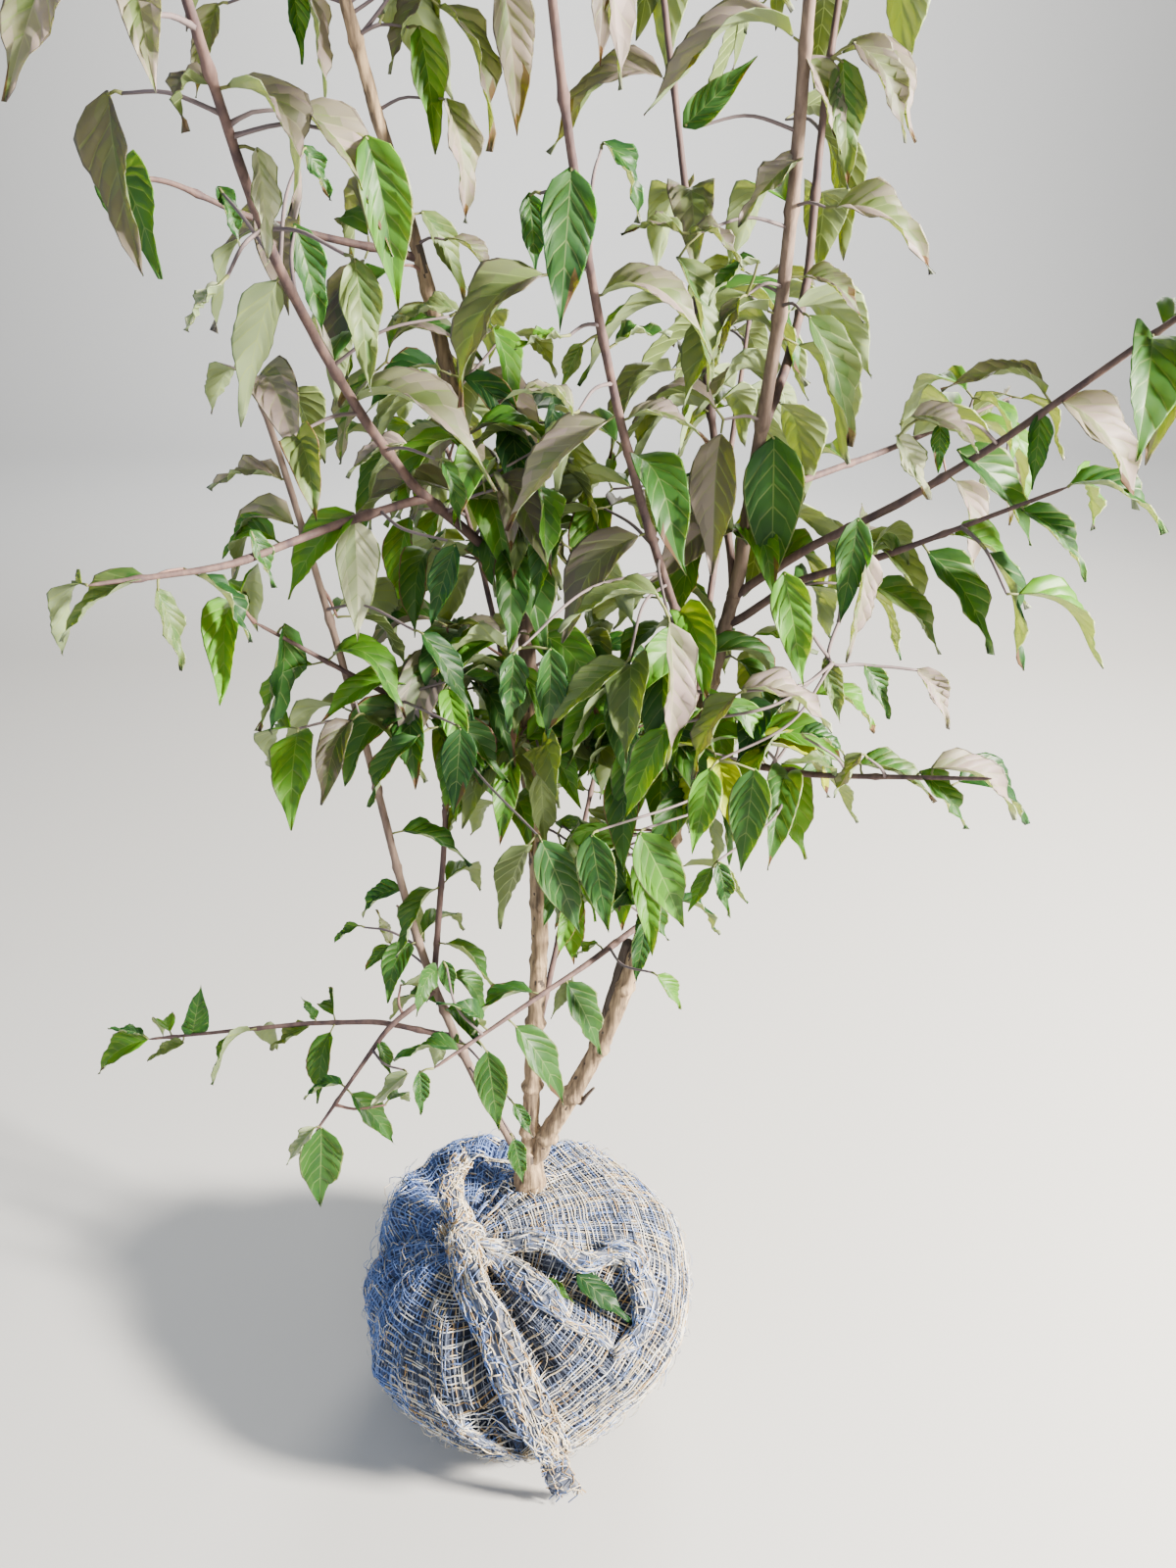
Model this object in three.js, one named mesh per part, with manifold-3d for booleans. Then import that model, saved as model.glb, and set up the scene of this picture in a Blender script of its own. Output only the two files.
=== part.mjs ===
// A many-stemmed dogwood shrub, dug up for planting, standing on a root ball wrapped in knotted burlap.
// Millimetres, +Z up, +X to the right and +Y away from the front, with the origin at the
// centre of the ball's flat underside.
import * as THREE from 'three';
import { mergeVertices } from 'three/addons/utils/BufferGeometryUtils.js';
import Module from 'manifold-3d';

const wasm = await Module();
wasm.setup();

// Driving dimensions
const GAP = 0.3;                 // clearance kept between two pieces that touch
const BALL_RADIUS = 200;
const BALL_HEIGHT = 312;
const FOOT_RADIUS = 72;
const BALL_DEPTH = 0.94;         // the ball is this much shallower front to back than it is wide
const BALL_WIDEST = 0.47;        // height of the widest ring, as a share of the ball's height
const BALL_LEAN = 0.06;          // how much higher that ring is on the right, and lower on the left
const BALL_BELOW = 1.35;         // how full the ball is below its widest ring, and above it
const BALL_ABOVE = 2.5;
const BALL_LUMPS = [0.018, 0.014];
const BALL_SIDES = 28;
const BALL_RINGS = 10;
const RING_CROWDING = 1.35;      // the ball's rings stand closer together near its top
const STOCK_AXIS = [5, 30];      // where the stems leave the ball
const STOCK_TOP = 372;
const RING_SPACING = 80;         // distance between the rings of a limb
const LEAF_RINGS = 7;
const LEAF_SIDES = 10;
const LEAF_CORE = 0.76;          // reach of a mass between its lobes, as a share of its half sizes
const LEAF_LOBE = 0.26;
const LEAF_RAGGED = 0.14;
const LOBE_TURN = 2.4;           // radians between the lobes of a mass, and from one mass to the next
const MASS_TURN = 1.7;
const THICK_LIMB = 12;           // limbs over this diameter have more sides

// Limbs. Each leaves its parent at a height, passes its bends and ends at its tip, tapering between
// two diameters. One with an ends entry stops where it enters that mass of leaves; round the others
// the masses are cut.
const LIMBS = {
  stem_left: {
    from: 'stock', height: 352, thick: [20, 15],
    path: [[14, 30, 520], [25, 30, 695], [18, 32, 880], [20, 30, 1085]],
  },
  stem_right: {
    from: 'stock', height: 345, thick: [22, 12.5],
    path: [[50, 20, 450], [92, 9, 555], [122, 0, 665], [160, 2, 835], [186, 10, 975], [210, 20, 1085]],
  },
  stem_thin: {
    from: 'stock', height: 335, thick: [11, 5],
    path: [[-48, 14, 485], [-95, -8, 685], [-125, -38, 945], [-155, -60, 1160], [-172, -72, 1262]],
  },
  stem_front: {
    from: 'stem_left', height: 1062, thick: [9.5, 4.5],
    path: [[-28, -3, 1125], [-66, -50, 1178], [-115, -175, 1335], [-114, -290, 1445], [-118, -385, 1590]],
  },
  stem_back: {
    from: 'stem_left', height: 1030, thick: [16, 7],
    path: [[-18, 54, 1120], [-60, 72, 1320], [-98, 40, 1490], [-122, 20, 1670]],
  },
  stem_upright: {
    from: 'stem_right', height: 1078, thick: [12.5, 6],
    path: [[211, -2, 1160], [220, -42, 1335], [214, -92, 1500], [212, -128, 1775]],
  },
  stem_centre: {
    from: 'stem_right', height: 968, thick: [8.5, 4.5],
    path: [[150, -40, 1062], [104, -112, 1215], [66, -228, 1405], [46, -325, 1585]],
  },
  stem_mid: {
    from: 'stem_right', height: 1066, thick: [7.5, 4.5],
    path: [[178, 58, 1220], [146, 62, 1415], [112, 72, 1620]],
  },
  stem_far: {
    from: 'stem_upright', height: 1205, thick: [9, 4.5],
    path: [[256, 82, 1290], [268, 135, 1440], [300, 205, 1690]],
  },
  stem_thin_inner: {
    from: 'stem_thin', height: 640, thick: [7, 5],
    path: [[-62, 8, 850], [-55, 20, 985]],
  },
  shoot_right_high: {
    from: 'stem_right', height: 1060, thick: [8.5, 4.5],
    path: [[255, -10, 1108], [345, -55, 1176], [470, -175, 1330]],
  },
  shoot_right_low: {
    from: 'stem_right', height: 1028, thick: [8, 5], ends: 'leaves_right_low',
    path: [[262, -3, 1084], [340, -52, 1125], [430, -110, 1190]],
  },
  shoot_right_far: {
    from: 'stem_upright', height: 1150, thick: [7, 5], ends: 'leaves_right_far',
    path: [[268, 60, 1152], [385, 140, 1170], [485, 200, 1195]],
  },
  shoot_right_droop: {
    from: 'stem_right', height: 872, thick: [8, 5], ends: 'leaves_right_droop',
    path: [[190, -25, 915], [285, -100, 938], [350, -170, 975]],
  },
  shoot_left_high: {
    from: 'stem_front', height: 1162, thick: [8, 5], ends: 'leaves_left_high',
    path: [[-112, -82, 1156], [-180, -130, 1140], [-250, -185, 1140]],
  },
  shoot_left_mid: {
    from: 'stem_left', height: 870, thick: [7, 5], ends: 'leaves_left_inner',
    path: [[-50, 0, 945], [-110, -35, 990], [-195, -80, 1072]],
  },
  shoot_top_left: {
    from: 'stem_back', height: 1330, thick: [7, 4],
    path: [[-105, 48, 1341], [-165, 8, 1357], [-228, -42, 1392]],
  },
  shoot_low_front: {
    from: 'stem_right', height: 722, thick: [7, 4], ends: 'leaves_low_front',
    path: [[92, -35, 706], [-20, -110, 672], [-70, -140, 650]],
  },
  shoot_low_left: {
    from: 'stem_thin', height: 632, thick: [7, 4], ends: 'leaves_low_left',
    path: [[-130, -45, 618], [-170, -70, 565], [-200, -90, 525]],
  },
  shoot_low_far: {
    from: 'stem_thin', height: 560, thick: [7, 4], ends: 'leaves_low_far',
    path: [[-130, 10, 577], [-240, 22, 566], [-400, 30, 536]],
  },
  shoot_rear_left: {
    from: 'stem_left', height: 790, thick: [9, 5], ends: 'leaves_rear_left',
    path: [[-5, 110, 930], [-50, 215, 1090]],
  },
  shoot_rear_right: {
    from: 'stem_right', height: 860, thick: [9, 5], ends: 'leaves_rear_right',
    path: [[195, 130, 1010], [232, 270, 1220]],
  },
  shoot_rear_low: {
    from: 'stem_left', height: 520, thick: [8, 5], ends: 'leaves_rear_low',
    path: [[50, 110, 660], [92, 215, 820]],
  },
};

// Masses of leaves: centre, half sizes and the lean of the long axis in degrees towards +X.
const LEAVES = {
  leaves_low_front: { at: [5, -85, 640], half: [68, 55, 80], lean: 0 },
  leaves_low_left: { at: [-180, -72, 528], half: [66, 55, 115], lean: -12 },
  leaves_low_far: { at: [-345, 22, 545], half: [130, 60, 70], lean: 0 },
  leaves_low_stem: { at: [-108, 2, 690], half: [72, 60, 84], lean: 0 },
  leaves_skirt: { at: [122, -15, 800], half: [140, 78, 72], lean: 0 },
  leaves_centre_left: { at: [-8, -14, 972], half: [88, 100, 118], lean: 0 },
  leaves_centre_right: { at: [172, -20, 985], half: [122, 104, 132], lean: 8 },
  leaves_centre_top: { at: [62, -20, 1172], half: [84, 108, 88], lean: 0 },
  leaves_right_top: { at: [186, 8, 1190], half: [66, 104, 100], lean: 0 },
  leaves_left_inner: { at: [-152, -66, 1040], half: [86, 74, 128], lean: 22 },
  leaves_left_high: { at: [-254, -176, 1120], half: [70, 66, 56], lean: 0 },
  leaves_left_tip: { at: [-172, -80, 1205], half: [62, 60, 62], lean: 0 },
  leaves_right_droop: { at: [330, -140, 946], half: [100, 80, 50], lean: 0 },
  leaves_right_low: { at: [392, -92, 1108], half: [96, 80, 68], lean: 0 },
  leaves_right_inner: { at: [292, 20, 1105], half: [72, 92, 112], lean: 0 },
  leaves_right_high: { at: [402, -118, 1235], half: [84, 80, 68], lean: 25 },
  leaves_right_end: { at: [478, -185, 1345], half: [76, 84, 72], lean: 25 },
  leaves_right_far: { at: [438, 172, 1165], half: [92, 86, 72], lean: 0 },
  leaves_back_mid: { at: [-42, 62, 1262], half: [84, 96, 108], lean: 0 },
  leaves_front_low: { at: [-112, -150, 1292], half: [78, 84, 84], lean: 0 },
  leaves_front_top: { at: [-138, -325, 1505], half: [118, 104, 150], lean: 0 },
  leaves_back_top: { at: [-105, 38, 1530], half: [112, 104, 178], lean: 0 },
  leaves_centre_high: { at: [66, -232, 1462], half: [82, 100, 172], lean: 0 },
  leaves_mid_top: { at: [142, 72, 1462], half: [70, 96, 200], lean: 0 },
  leaves_upright_mid: { at: [236, -34, 1335], half: [66, 84, 96], lean: 0 },
  leaves_upright_top: { at: [214, -108, 1660], half: [102, 100, 178], lean: 0 },
  leaves_far_top: { at: [290, 160, 1520], half: [98, 96, 212], lean: 4 },
  leaves_rear_left: { at: [-62, 240, 1125], half: [112, 104, 122], lean: 0 },
  leaves_rear_right: { at: [236, 290, 1250], half: [116, 104, 126], lean: 0 },
  leaves_rear_low: { at: [98, 232, 850], half: [112, 92, 108], lean: 0 },
};

// Gathered cloth on the ball: each roll follows its points, [x, y] in plan and the height above
// the ball's surface, and has a width and a thickness at its two ends.
const KNOT = { at: [-68, -46, 306], half: [27, 24, 24] };
const ROLLS = {
  burlap_tail_up: {
    path: [[-74, -26, 18], [-88, 22, 26], [-92, 68, 20]],
    width: [30, 22],
    thick: [22, 14],
  },
  burlap_ridge: {
    path: [[-56, -62, 12], [-31, -114, 10], [-5, -150, 8], [12, -166, 7]],
    width: [34, 38],
    thick: [26, 22],
  },
  burlap_band: {
    path: [[-38, -52, 10], [20, -56, 8], [86, -34, 6], [132, 4, 4]],
    width: [40, 96],
    thick: [24, 16],
  },
};
const TAIL_DOWN = {
  path: [[28, -184, 148], [38, -181, 82], [45, -172, 20]],
  width: [36, 28],
  thick: [20, 12],
};

const COLOURS = {
  cloth: { color: 0x9a9c9b, roughness: 0.95, metalness: 0 },
  bark: { color: 0x9c8468, roughness: 0.85, metalness: 0 },
  shoot: { color: 0x8a6458, roughness: 0.7, metalness: 0 },
  leaf: { color: 0x4f7a34, roughness: 0.6, metalness: 0 },
};

const part = new THREE.Group();

function addPiece(name, solid, look) {
  const mesh = new THREE.Mesh(toGeometry(solid), new THREE.MeshStandardMaterial(COLOURS[look]));
  mesh.name = name;
  part.add(mesh);
}

function toSolid(geometry) {
  const bare = geometry.index ? geometry.clone() : geometry;
  bare.deleteAttribute('normal');
  bare.deleteAttribute('uv');
  const merged = mergeVertices(bare, 1e-3);
  return new wasm.Manifold(new wasm.Mesh({
    numProp: 3,
    vertProperties: new Float32Array(merged.attributes.position.array),
    triVerts: new Uint32Array(merged.index.array),
  }));
}

function toGeometry(solid) {
  const mesh = solid.getMesh();
  const geometry = new THREE.BufferGeometry();
  geometry.setAttribute('position', new THREE.BufferAttribute(new Float32Array(mesh.vertProperties), 3));
  geometry.setIndex(new THREE.BufferAttribute(new Uint32Array(mesh.triVerts), 1));
  geometry.computeVertexNormals();
  return geometry;
}

// The biggest piece of what is left of a solid once the others are cut away from it.
function cutBy(solid, others) {
  let left = solid;
  for (const other of others) {
    left = left.subtract(other);
  }
  const pieces = left.decompose();
  return pieces.reduce((best, piece) => (piece.volume() > best.volume() ? piece : best));
}

// Half width and half thickness at a share of a length, from the width and the thickness at its two ends.
function halfSizes(width, thick) {
  const between = ([start, end], share) => (start + (end - start) * share) / 2;
  return (share) => [between(width, share), between(thick, share)];
}

// A closed tube of rings round a curve. The size function gives the half width and half
// thickness at a share of the length; grow makes it wider all round and longer at both ends.
function tube(curve, sides, steps, size, grow = 0, wideAxis = null) {
  const positions = [];
  const index = [];
  const side = new THREE.Vector3();
  const rise = new THREE.Vector3();
  for (let ring = 0; ring <= steps; ring += 1) {
    const share = ring / steps;
    const centre = curve.getPointAt(share);
    const along = curve.getTangentAt(share);
    centre.addScaledVector(along, ring === 0 ? -grow : ring === steps ? grow : 0);
    side.copy(wideAxis ?? new THREE.Vector3(0, 1, 0)).cross(along).normalize();
    rise.crossVectors(along, side).normalize();
    const [halfWide, halfThick] = size(share);
    for (let corner = 0; corner < sides; corner += 1) {
      const angle = (corner / sides) * 2 * Math.PI;
      const point = centre.clone()
        .addScaledVector(side, Math.cos(angle) * (halfWide + grow))
        .addScaledVector(rise, Math.sin(angle) * (halfThick + grow));
      positions.push(point.x, point.y, point.z);
    }
  }
  for (let ring = 0; ring < steps; ring += 1) {
    for (let corner = 0; corner < sides; corner += 1) {
      const a = ring * sides + corner;
      const b = ring * sides + ((corner + 1) % sides);
      index.push(a, b, b + sides, a, b + sides, a + sides);
    }
  }
  const last = steps * sides;
  for (let corner = 1; corner < sides - 1; corner += 1) {
    index.push(0, corner + 1, corner, last, last + corner, last + corner + 1);
  }
  const geometry = new THREE.BufferGeometry();
  geometry.setAttribute('position', new THREE.Float32BufferAttribute(positions, 3));
  geometry.setIndex(index);
  return toSolid(geometry);
}

// The ball: a squat round of soil, flat below, with slack cloth bulging where the rolls leave it.
function widestShare(angle) {
  return BALL_WIDEST + BALL_LEAN * Math.cos(angle);
}

function ballRadius(share, angle) {
  const widest = widestShare(angle);
  const below = share < widest;
  const reach = below ? (widest - share) / widest : (share - widest) / (1 - widest);
  const round = below
    ? FOOT_RADIUS + (BALL_RADIUS - FOOT_RADIUS) * Math.sqrt(1 - reach ** BALL_BELOW)
    : BALL_RADIUS * Math.sqrt(Math.max(0, 1 - reach ** BALL_ABOVE));
  const [slow, quick] = BALL_LUMPS;
  const lumps = slow * Math.sin(3 * angle + 0.8) + quick * Math.sin(5 * angle + 7 * share);
  return round * (1 + lumps * Math.sin(Math.PI * Math.min(1, share * 1.1)));
}

function ball(grow = 0) {
  const sides = BALL_SIDES;
  const rings = BALL_RINGS;
  const positions = [0, 0, -grow];
  const index = [];
  for (let ring = 0; ring < rings; ring += 1) {
    const share = 1 - Math.cos((ring / rings) * Math.PI / 2) ** RING_CROWDING;
    for (let corner = 0; corner < sides; corner += 1) {
      const angle = (corner / sides) * 2 * Math.PI;
      const radius = ballRadius(share, angle) + grow;
      const height = ring === 0 ? -grow : share * BALL_HEIGHT + grow * share;
      const depth = (radius - grow) * BALL_DEPTH + grow;
      positions.push(radius * Math.cos(angle), depth * Math.sin(angle), height);
    }
  }
  positions.push(0, 0, BALL_HEIGHT + grow);
  const top = 1 + rings * sides;
  for (let corner = 0; corner < sides; corner += 1) {
    const next = (corner + 1) % sides;
    index.push(0, 1 + next, 1 + corner);
    index.push(top, top - sides + corner, top - sides + next);
    for (let ring = 0; ring < rings - 1; ring += 1) {
      const a = 1 + ring * sides + corner;
      const b = 1 + ring * sides + next;
      index.push(a, b, b + sides, a, b + sides, a + sides);
    }
  }
  const geometry = new THREE.BufferGeometry();
  geometry.setAttribute('position', new THREE.Float32BufferAttribute(positions, 3));
  geometry.setIndex(index);
  return toSolid(geometry);
}

// Height of the ball's surface over a point in plan.
function ballTop(x, y) {
  const angle = Math.atan2(y / BALL_DEPTH, x);
  const reach = Math.hypot(x, y / BALL_DEPTH);
  let low = widestShare(angle);
  let high = 1;
  for (let step = 0; step < 30; step += 1) {
    const middle = (low + high) / 2;
    if (ballRadius(middle, angle) > reach) {
      low = middle;
    } else {
      high = middle;
    }
  }
  return low * BALL_HEIGHT;
}

// Centre line of a limb, from its parent's centre at a height, through its bends, to its tip.
const curves = {};
function pointAtHeight(curve, height) {
  let low = 0;
  let high = 1;
  for (let step = 0; step < 30; step += 1) {
    const middle = (low + high) / 2;
    if (curve.getPointAt(middle).z < height) {
      low = middle;
    } else {
      high = middle;
    }
  }
  return curve.getPointAt(low);
}

function limbCurve(limb) {
  const start = pointAtHeight(curves[limb.from], limb.height);
  return new THREE.CatmullRomCurve3([start, ...limb.path.map((p) => new THREE.Vector3(...p))]);
}

function limbSolid(name, grow = 0) {
  const { thick } = LIMBS[name];
  const curve = curves[name];
  const steps = Math.max(3, Math.round(curve.getLength() / RING_SPACING));
  return tube(curve, thick[0] > THICK_LIMB ? 8 : 6, steps, halfSizes(thick, thick), grow);
}

// The short stock under the stems, flaring to its roots where the cloth closes round it.
function stockSolid(grow = 0) {
  const profile = [
    [0, 270], [27, 270], [24, 300], [18, 322], [16, 345], [15, STOCK_TOP], [0, STOCK_TOP],
  ].map(([radius, height], place, all) => new THREE.Vector2(
    radius === 0 ? 0 : radius + grow,
    height + (place < 2 ? -grow : place > all.length - 3 ? grow : 0),
  ));
  const turned = new THREE.LatheGeometry(profile, 12);
  turned.rotateX(Math.PI / 2);
  turned.translate(STOCK_AXIS[0], STOCK_AXIS[1], 0);
  return toSolid(turned);
}

// A mass of leaves: a round drawn out into a few lobes, each mass in its own way, sagging at its rim.
function leafMass(name, place, grow = 0) {
  const { at, half, lean } = LEAVES[name];
  const geometry = new THREE.SphereGeometry(1, LEAF_SIDES, LEAF_RINGS);
  geometry.rotateX(Math.PI / 2);
  const lobes = [0, 1, 2, 3, 4].map((lobe) => {
    const turn = LOBE_TURN * lobe + MASS_TURN * place;
    const lift = Math.sin(1.3 * lobe + 0.9 * place);
    return new THREE.Vector3(Math.cos(turn), Math.sin(turn), lift).normalize();
  });
  const tilt = new THREE.Matrix4().makeRotationY(THREE.MathUtils.degToRad(lean));
  const point = new THREE.Vector3();
  const spots = geometry.attributes.position;
  for (let spot = 0; spot < spots.count; spot += 1) {
    point.fromBufferAttribute(spots, spot).normalize();
    const lobe = Math.max(...lobes.map((way) => way.dot(point)));
    const ragged = Math.sin(8 * point.x + place) * Math.sin(7 * point.y + 2 * place) * Math.cos(6 * point.z);
    const reach = LEAF_CORE + LEAF_LOBE * Math.max(0, lobe) ** 3 + LEAF_RAGGED * ragged;
    point.set(point.x * half[0], point.y * half[1], point.z * half[2]).multiplyScalar(reach);
    point.addScaledVector(point.clone().normalize(), grow);
    point.applyMatrix4(tilt);
    spots.setXYZ(spot, point.x + at[0], point.y + at[1], point.z + at[2]);
  }
  return toSolid(geometry);
}

// Root ball and cloth
const grownBall = ball(GAP);
addPiece('root_ball', ball(), 'cloth');

curves.stock = new THREE.LineCurve3(
  new THREE.Vector3(...STOCK_AXIS, 270),
  new THREE.Vector3(...STOCK_AXIS, STOCK_TOP),
);
const woody = { stock: cutBy(stockSolid(), [grownBall]) };
const grownWood = { stock: stockSolid(GAP) };

const cloth = {};
const grownCloth = [grownBall, grownWood.stock];
function addCloth(name, make) {
  cloth[name] = cutBy(make(0), grownCloth);
  grownCloth.push(make(GAP));
}

addCloth('burlap_knot', (grow) => {
  const round = new THREE.SphereGeometry(1, 12, 8);
  round.scale(...KNOT.half.map((size) => size + grow));
  round.translate(...KNOT.at);
  return toSolid(round);
});
for (const [name, { path, width, thick }] of Object.entries(ROLLS)) {
  const points = path.map(([x, y, lift]) => new THREE.Vector3(x, y, ballTop(x, y) + lift));
  const curve = new THREE.CatmullRomCurve3(points);
  addCloth(name, (grow) => tube(curve, 10, 9, halfSizes(width, thick), grow, new THREE.Vector3(0, 0, 1)));
}
addCloth('burlap_tail_down', (grow) => {
  const curve = new THREE.CatmullRomCurve3(TAIL_DOWN.path.map((p) => new THREE.Vector3(...p)));
  return tube(curve, 10, 5, halfSizes(TAIL_DOWN.width, TAIL_DOWN.thick), grow, new THREE.Vector3(0, 1, 0));
});
for (const [name, solid] of Object.entries(cloth)) {
  addPiece(name, solid, 'cloth');
}

// Limbs, each cut clear of those before it
for (const [name, limb] of Object.entries(LIMBS)) {
  curves[name] = limbCurve(limb);
  const near = Object.values(grownWood).concat(grownBall, grownCloth);
  woody[name] = cutBy(limbSolid(name), near);
  grownWood[name] = limbSolid(name, GAP);
}

// Masses of leaves: a side shoot is cut off where it enters its own mass, and every mass is cut
// clear of the limbs and of the masses before it
const grownLeaves = {};
Object.keys(LEAVES).forEach((name, place) => {
  grownLeaves[name] = leafMass(name, place, GAP);
});
for (const [name, limb] of Object.entries(LIMBS)) {
  if (limb.ends) {
    woody[name] = cutBy(woody[name], [grownLeaves[limb.ends]]);
  }
}
for (const [name, solid] of Object.entries(woody)) {
  addPiece(name, solid, LIMBS[name]?.ends ? 'shoot' : 'bark');
}
const placed = [];
Object.keys(LEAVES).forEach((name, place) => {
  const ownShoots = Object.keys(LIMBS).filter((limb) => LIMBS[limb].ends === name);
  const limbs = Object.keys(grownWood).filter((limb) => !ownShoots.includes(limb));
  const cutters = limbs.map((limb) => grownWood[limb]).concat(placed.map((done) => grownLeaves[done]));
  addPiece(name, cutBy(leafMass(name, place), cutters), 'leaf');
  placed.push(name);
});

export default part;
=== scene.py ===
"""A young dogwood shrub with several stems, standing on a root ball wrapped in knotted burlap."""

import math

import bpy
import numpy as np
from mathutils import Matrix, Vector
from mathutils.bvhtree import BVHTree


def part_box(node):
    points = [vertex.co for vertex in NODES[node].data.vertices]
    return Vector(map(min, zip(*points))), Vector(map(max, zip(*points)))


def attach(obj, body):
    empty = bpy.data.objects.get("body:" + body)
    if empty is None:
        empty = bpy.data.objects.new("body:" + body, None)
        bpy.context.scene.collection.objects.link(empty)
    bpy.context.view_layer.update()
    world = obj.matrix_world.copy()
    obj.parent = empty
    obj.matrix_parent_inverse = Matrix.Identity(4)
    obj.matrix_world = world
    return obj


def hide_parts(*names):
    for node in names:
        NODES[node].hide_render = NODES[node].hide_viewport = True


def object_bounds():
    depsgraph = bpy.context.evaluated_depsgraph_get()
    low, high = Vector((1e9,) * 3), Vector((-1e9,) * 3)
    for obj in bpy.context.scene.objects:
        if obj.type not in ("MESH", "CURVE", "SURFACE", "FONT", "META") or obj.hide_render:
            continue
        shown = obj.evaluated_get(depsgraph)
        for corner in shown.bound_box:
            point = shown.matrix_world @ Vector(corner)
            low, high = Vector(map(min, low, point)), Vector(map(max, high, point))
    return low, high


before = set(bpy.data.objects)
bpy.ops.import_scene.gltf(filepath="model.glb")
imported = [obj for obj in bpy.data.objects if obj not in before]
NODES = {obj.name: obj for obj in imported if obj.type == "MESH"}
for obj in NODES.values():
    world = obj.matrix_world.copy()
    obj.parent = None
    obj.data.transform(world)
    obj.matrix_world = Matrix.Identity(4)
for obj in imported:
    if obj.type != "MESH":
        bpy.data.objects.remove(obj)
cad_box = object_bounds()
UP = np.array([0.0, 0.0, 1.0])
DEGREE = math.pi / 180


# Small vector helpers

def unit(v):
    v = np.asarray(v, float)
    size = np.linalg.norm(v, axis=-1, keepdims=True)
    return v / np.maximum(size, 1e-12)


def mix(a, b, share):
    return a + (b - a) * share


def smooth(x, low=0.0, high=1.0):
    x = np.clip((x - low) / (high - low), 0.0, 1.0)
    return x * x * (3 - 2 * x)


def across(v):
    """A unit vector at right angles to v, level where it can be."""
    side = np.cross(v, UP)
    if np.linalg.norm(side) < 0.05:
        side = np.cross(v, [1.0, 0.0, 0.0])
    return unit(side)


def travelled(path):
    """The distance along a path at each of its points."""
    return np.concatenate([[0], np.cumsum(np.linalg.norm(np.diff(path, axis=0), axis=1))])


def picked(at, far, field):
    """Vectors given at the distances far, read at other distances."""
    return np.stack([np.interp(at, far, field[:, k]) for k in range(3)], -1)


def soften(values):
    """Draws each value but the first and the last towards its neighbours."""
    values[1:-1] = (values[:-2] + 2 * values[1:-1] + values[2:]) / 4


def round_angles(sides):
    return np.arange(sides) / sides * 2 * math.pi


def box_of(name):
    low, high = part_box(name)
    return np.array(low), np.array(high)


# The photo's view, which the camera and the leading leaves share

CAMERA_AT = np.array([0.075, -0.978, 1.42])
CAMERA_DOWN = math.radians(29)
PHOTO_SIZE = np.array([1200, 1600])
FOCAL_PIXELS = 1202
AHEAD = np.array([0.0, math.cos(CAMERA_DOWN), -math.sin(CAMERA_DOWN)])
RISE = np.array([0.0, math.sin(CAMERA_DOWN), math.cos(CAMERA_DOWN)])
ACROSS = np.array([1.0, 0.0, 0.0])


def sight(spot):
    """The way from the camera through a place in the photo, in pixels from its top left."""
    u, v = (np.array(spot) - PHOTO_SIZE / 2) / FOCAL_PIXELS
    return AHEAD + ACROSS * u - RISE * v


def seen_at(spot, depth):
    """The point at y = depth that shows at a place in the photo."""
    way = sight(spot)
    return CAMERA_AT + way * (depth - CAMERA_AT[1]) / way[1]


def shown_at(points):
    """Where points show in the photo, in pixels, and how far ahead of the camera they are."""
    gap = points - CAMERA_AT
    far = gap @ AHEAD
    flat = np.stack([gap @ ACROSS, -(gap @ RISE)], -1)
    return PHOTO_SIZE / 2 + FOCAL_PIXELS * flat / far[..., None], far


def nearest_on_sight(spot, points):
    """For each point, the nearest place to it that shows at a place in the photo."""
    way = sight(spot)
    return CAMERA_AT + way * ((points - CAMERA_AT) @ way / (way @ way))[:, None]


# Materials

SHEEN_ROUGH = 0.4
GLOW_REACH = (0.004, 0.005, 0.001)
RAMP_ENDS = (0.32, 0.68)


def material(name, colour, rough, specular, sheen=0.0, glow=0.0):
    """A plain colour. Its glow is the light that passes through a leaf."""
    mat = bpy.data.materials.new(name)
    mat.use_nodes = True
    inputs = mat.node_tree.nodes["Principled BSDF"].inputs
    inputs["Base Color"].default_value = (*colour, 1)
    inputs["Roughness"].default_value = rough
    inputs["Specular IOR Level"].default_value = specular
    inputs["Sheen Weight"].default_value = sheen
    if sheen:
        inputs["Sheen Roughness"].default_value = SHEEN_ROUGH
    if glow:
        inputs["Subsurface Weight"].default_value = glow
        inputs["Subsurface Radius"].default_value = GLOW_REACH
        inputs["Subsurface Scale"].default_value = 1.0
    return mat


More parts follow.
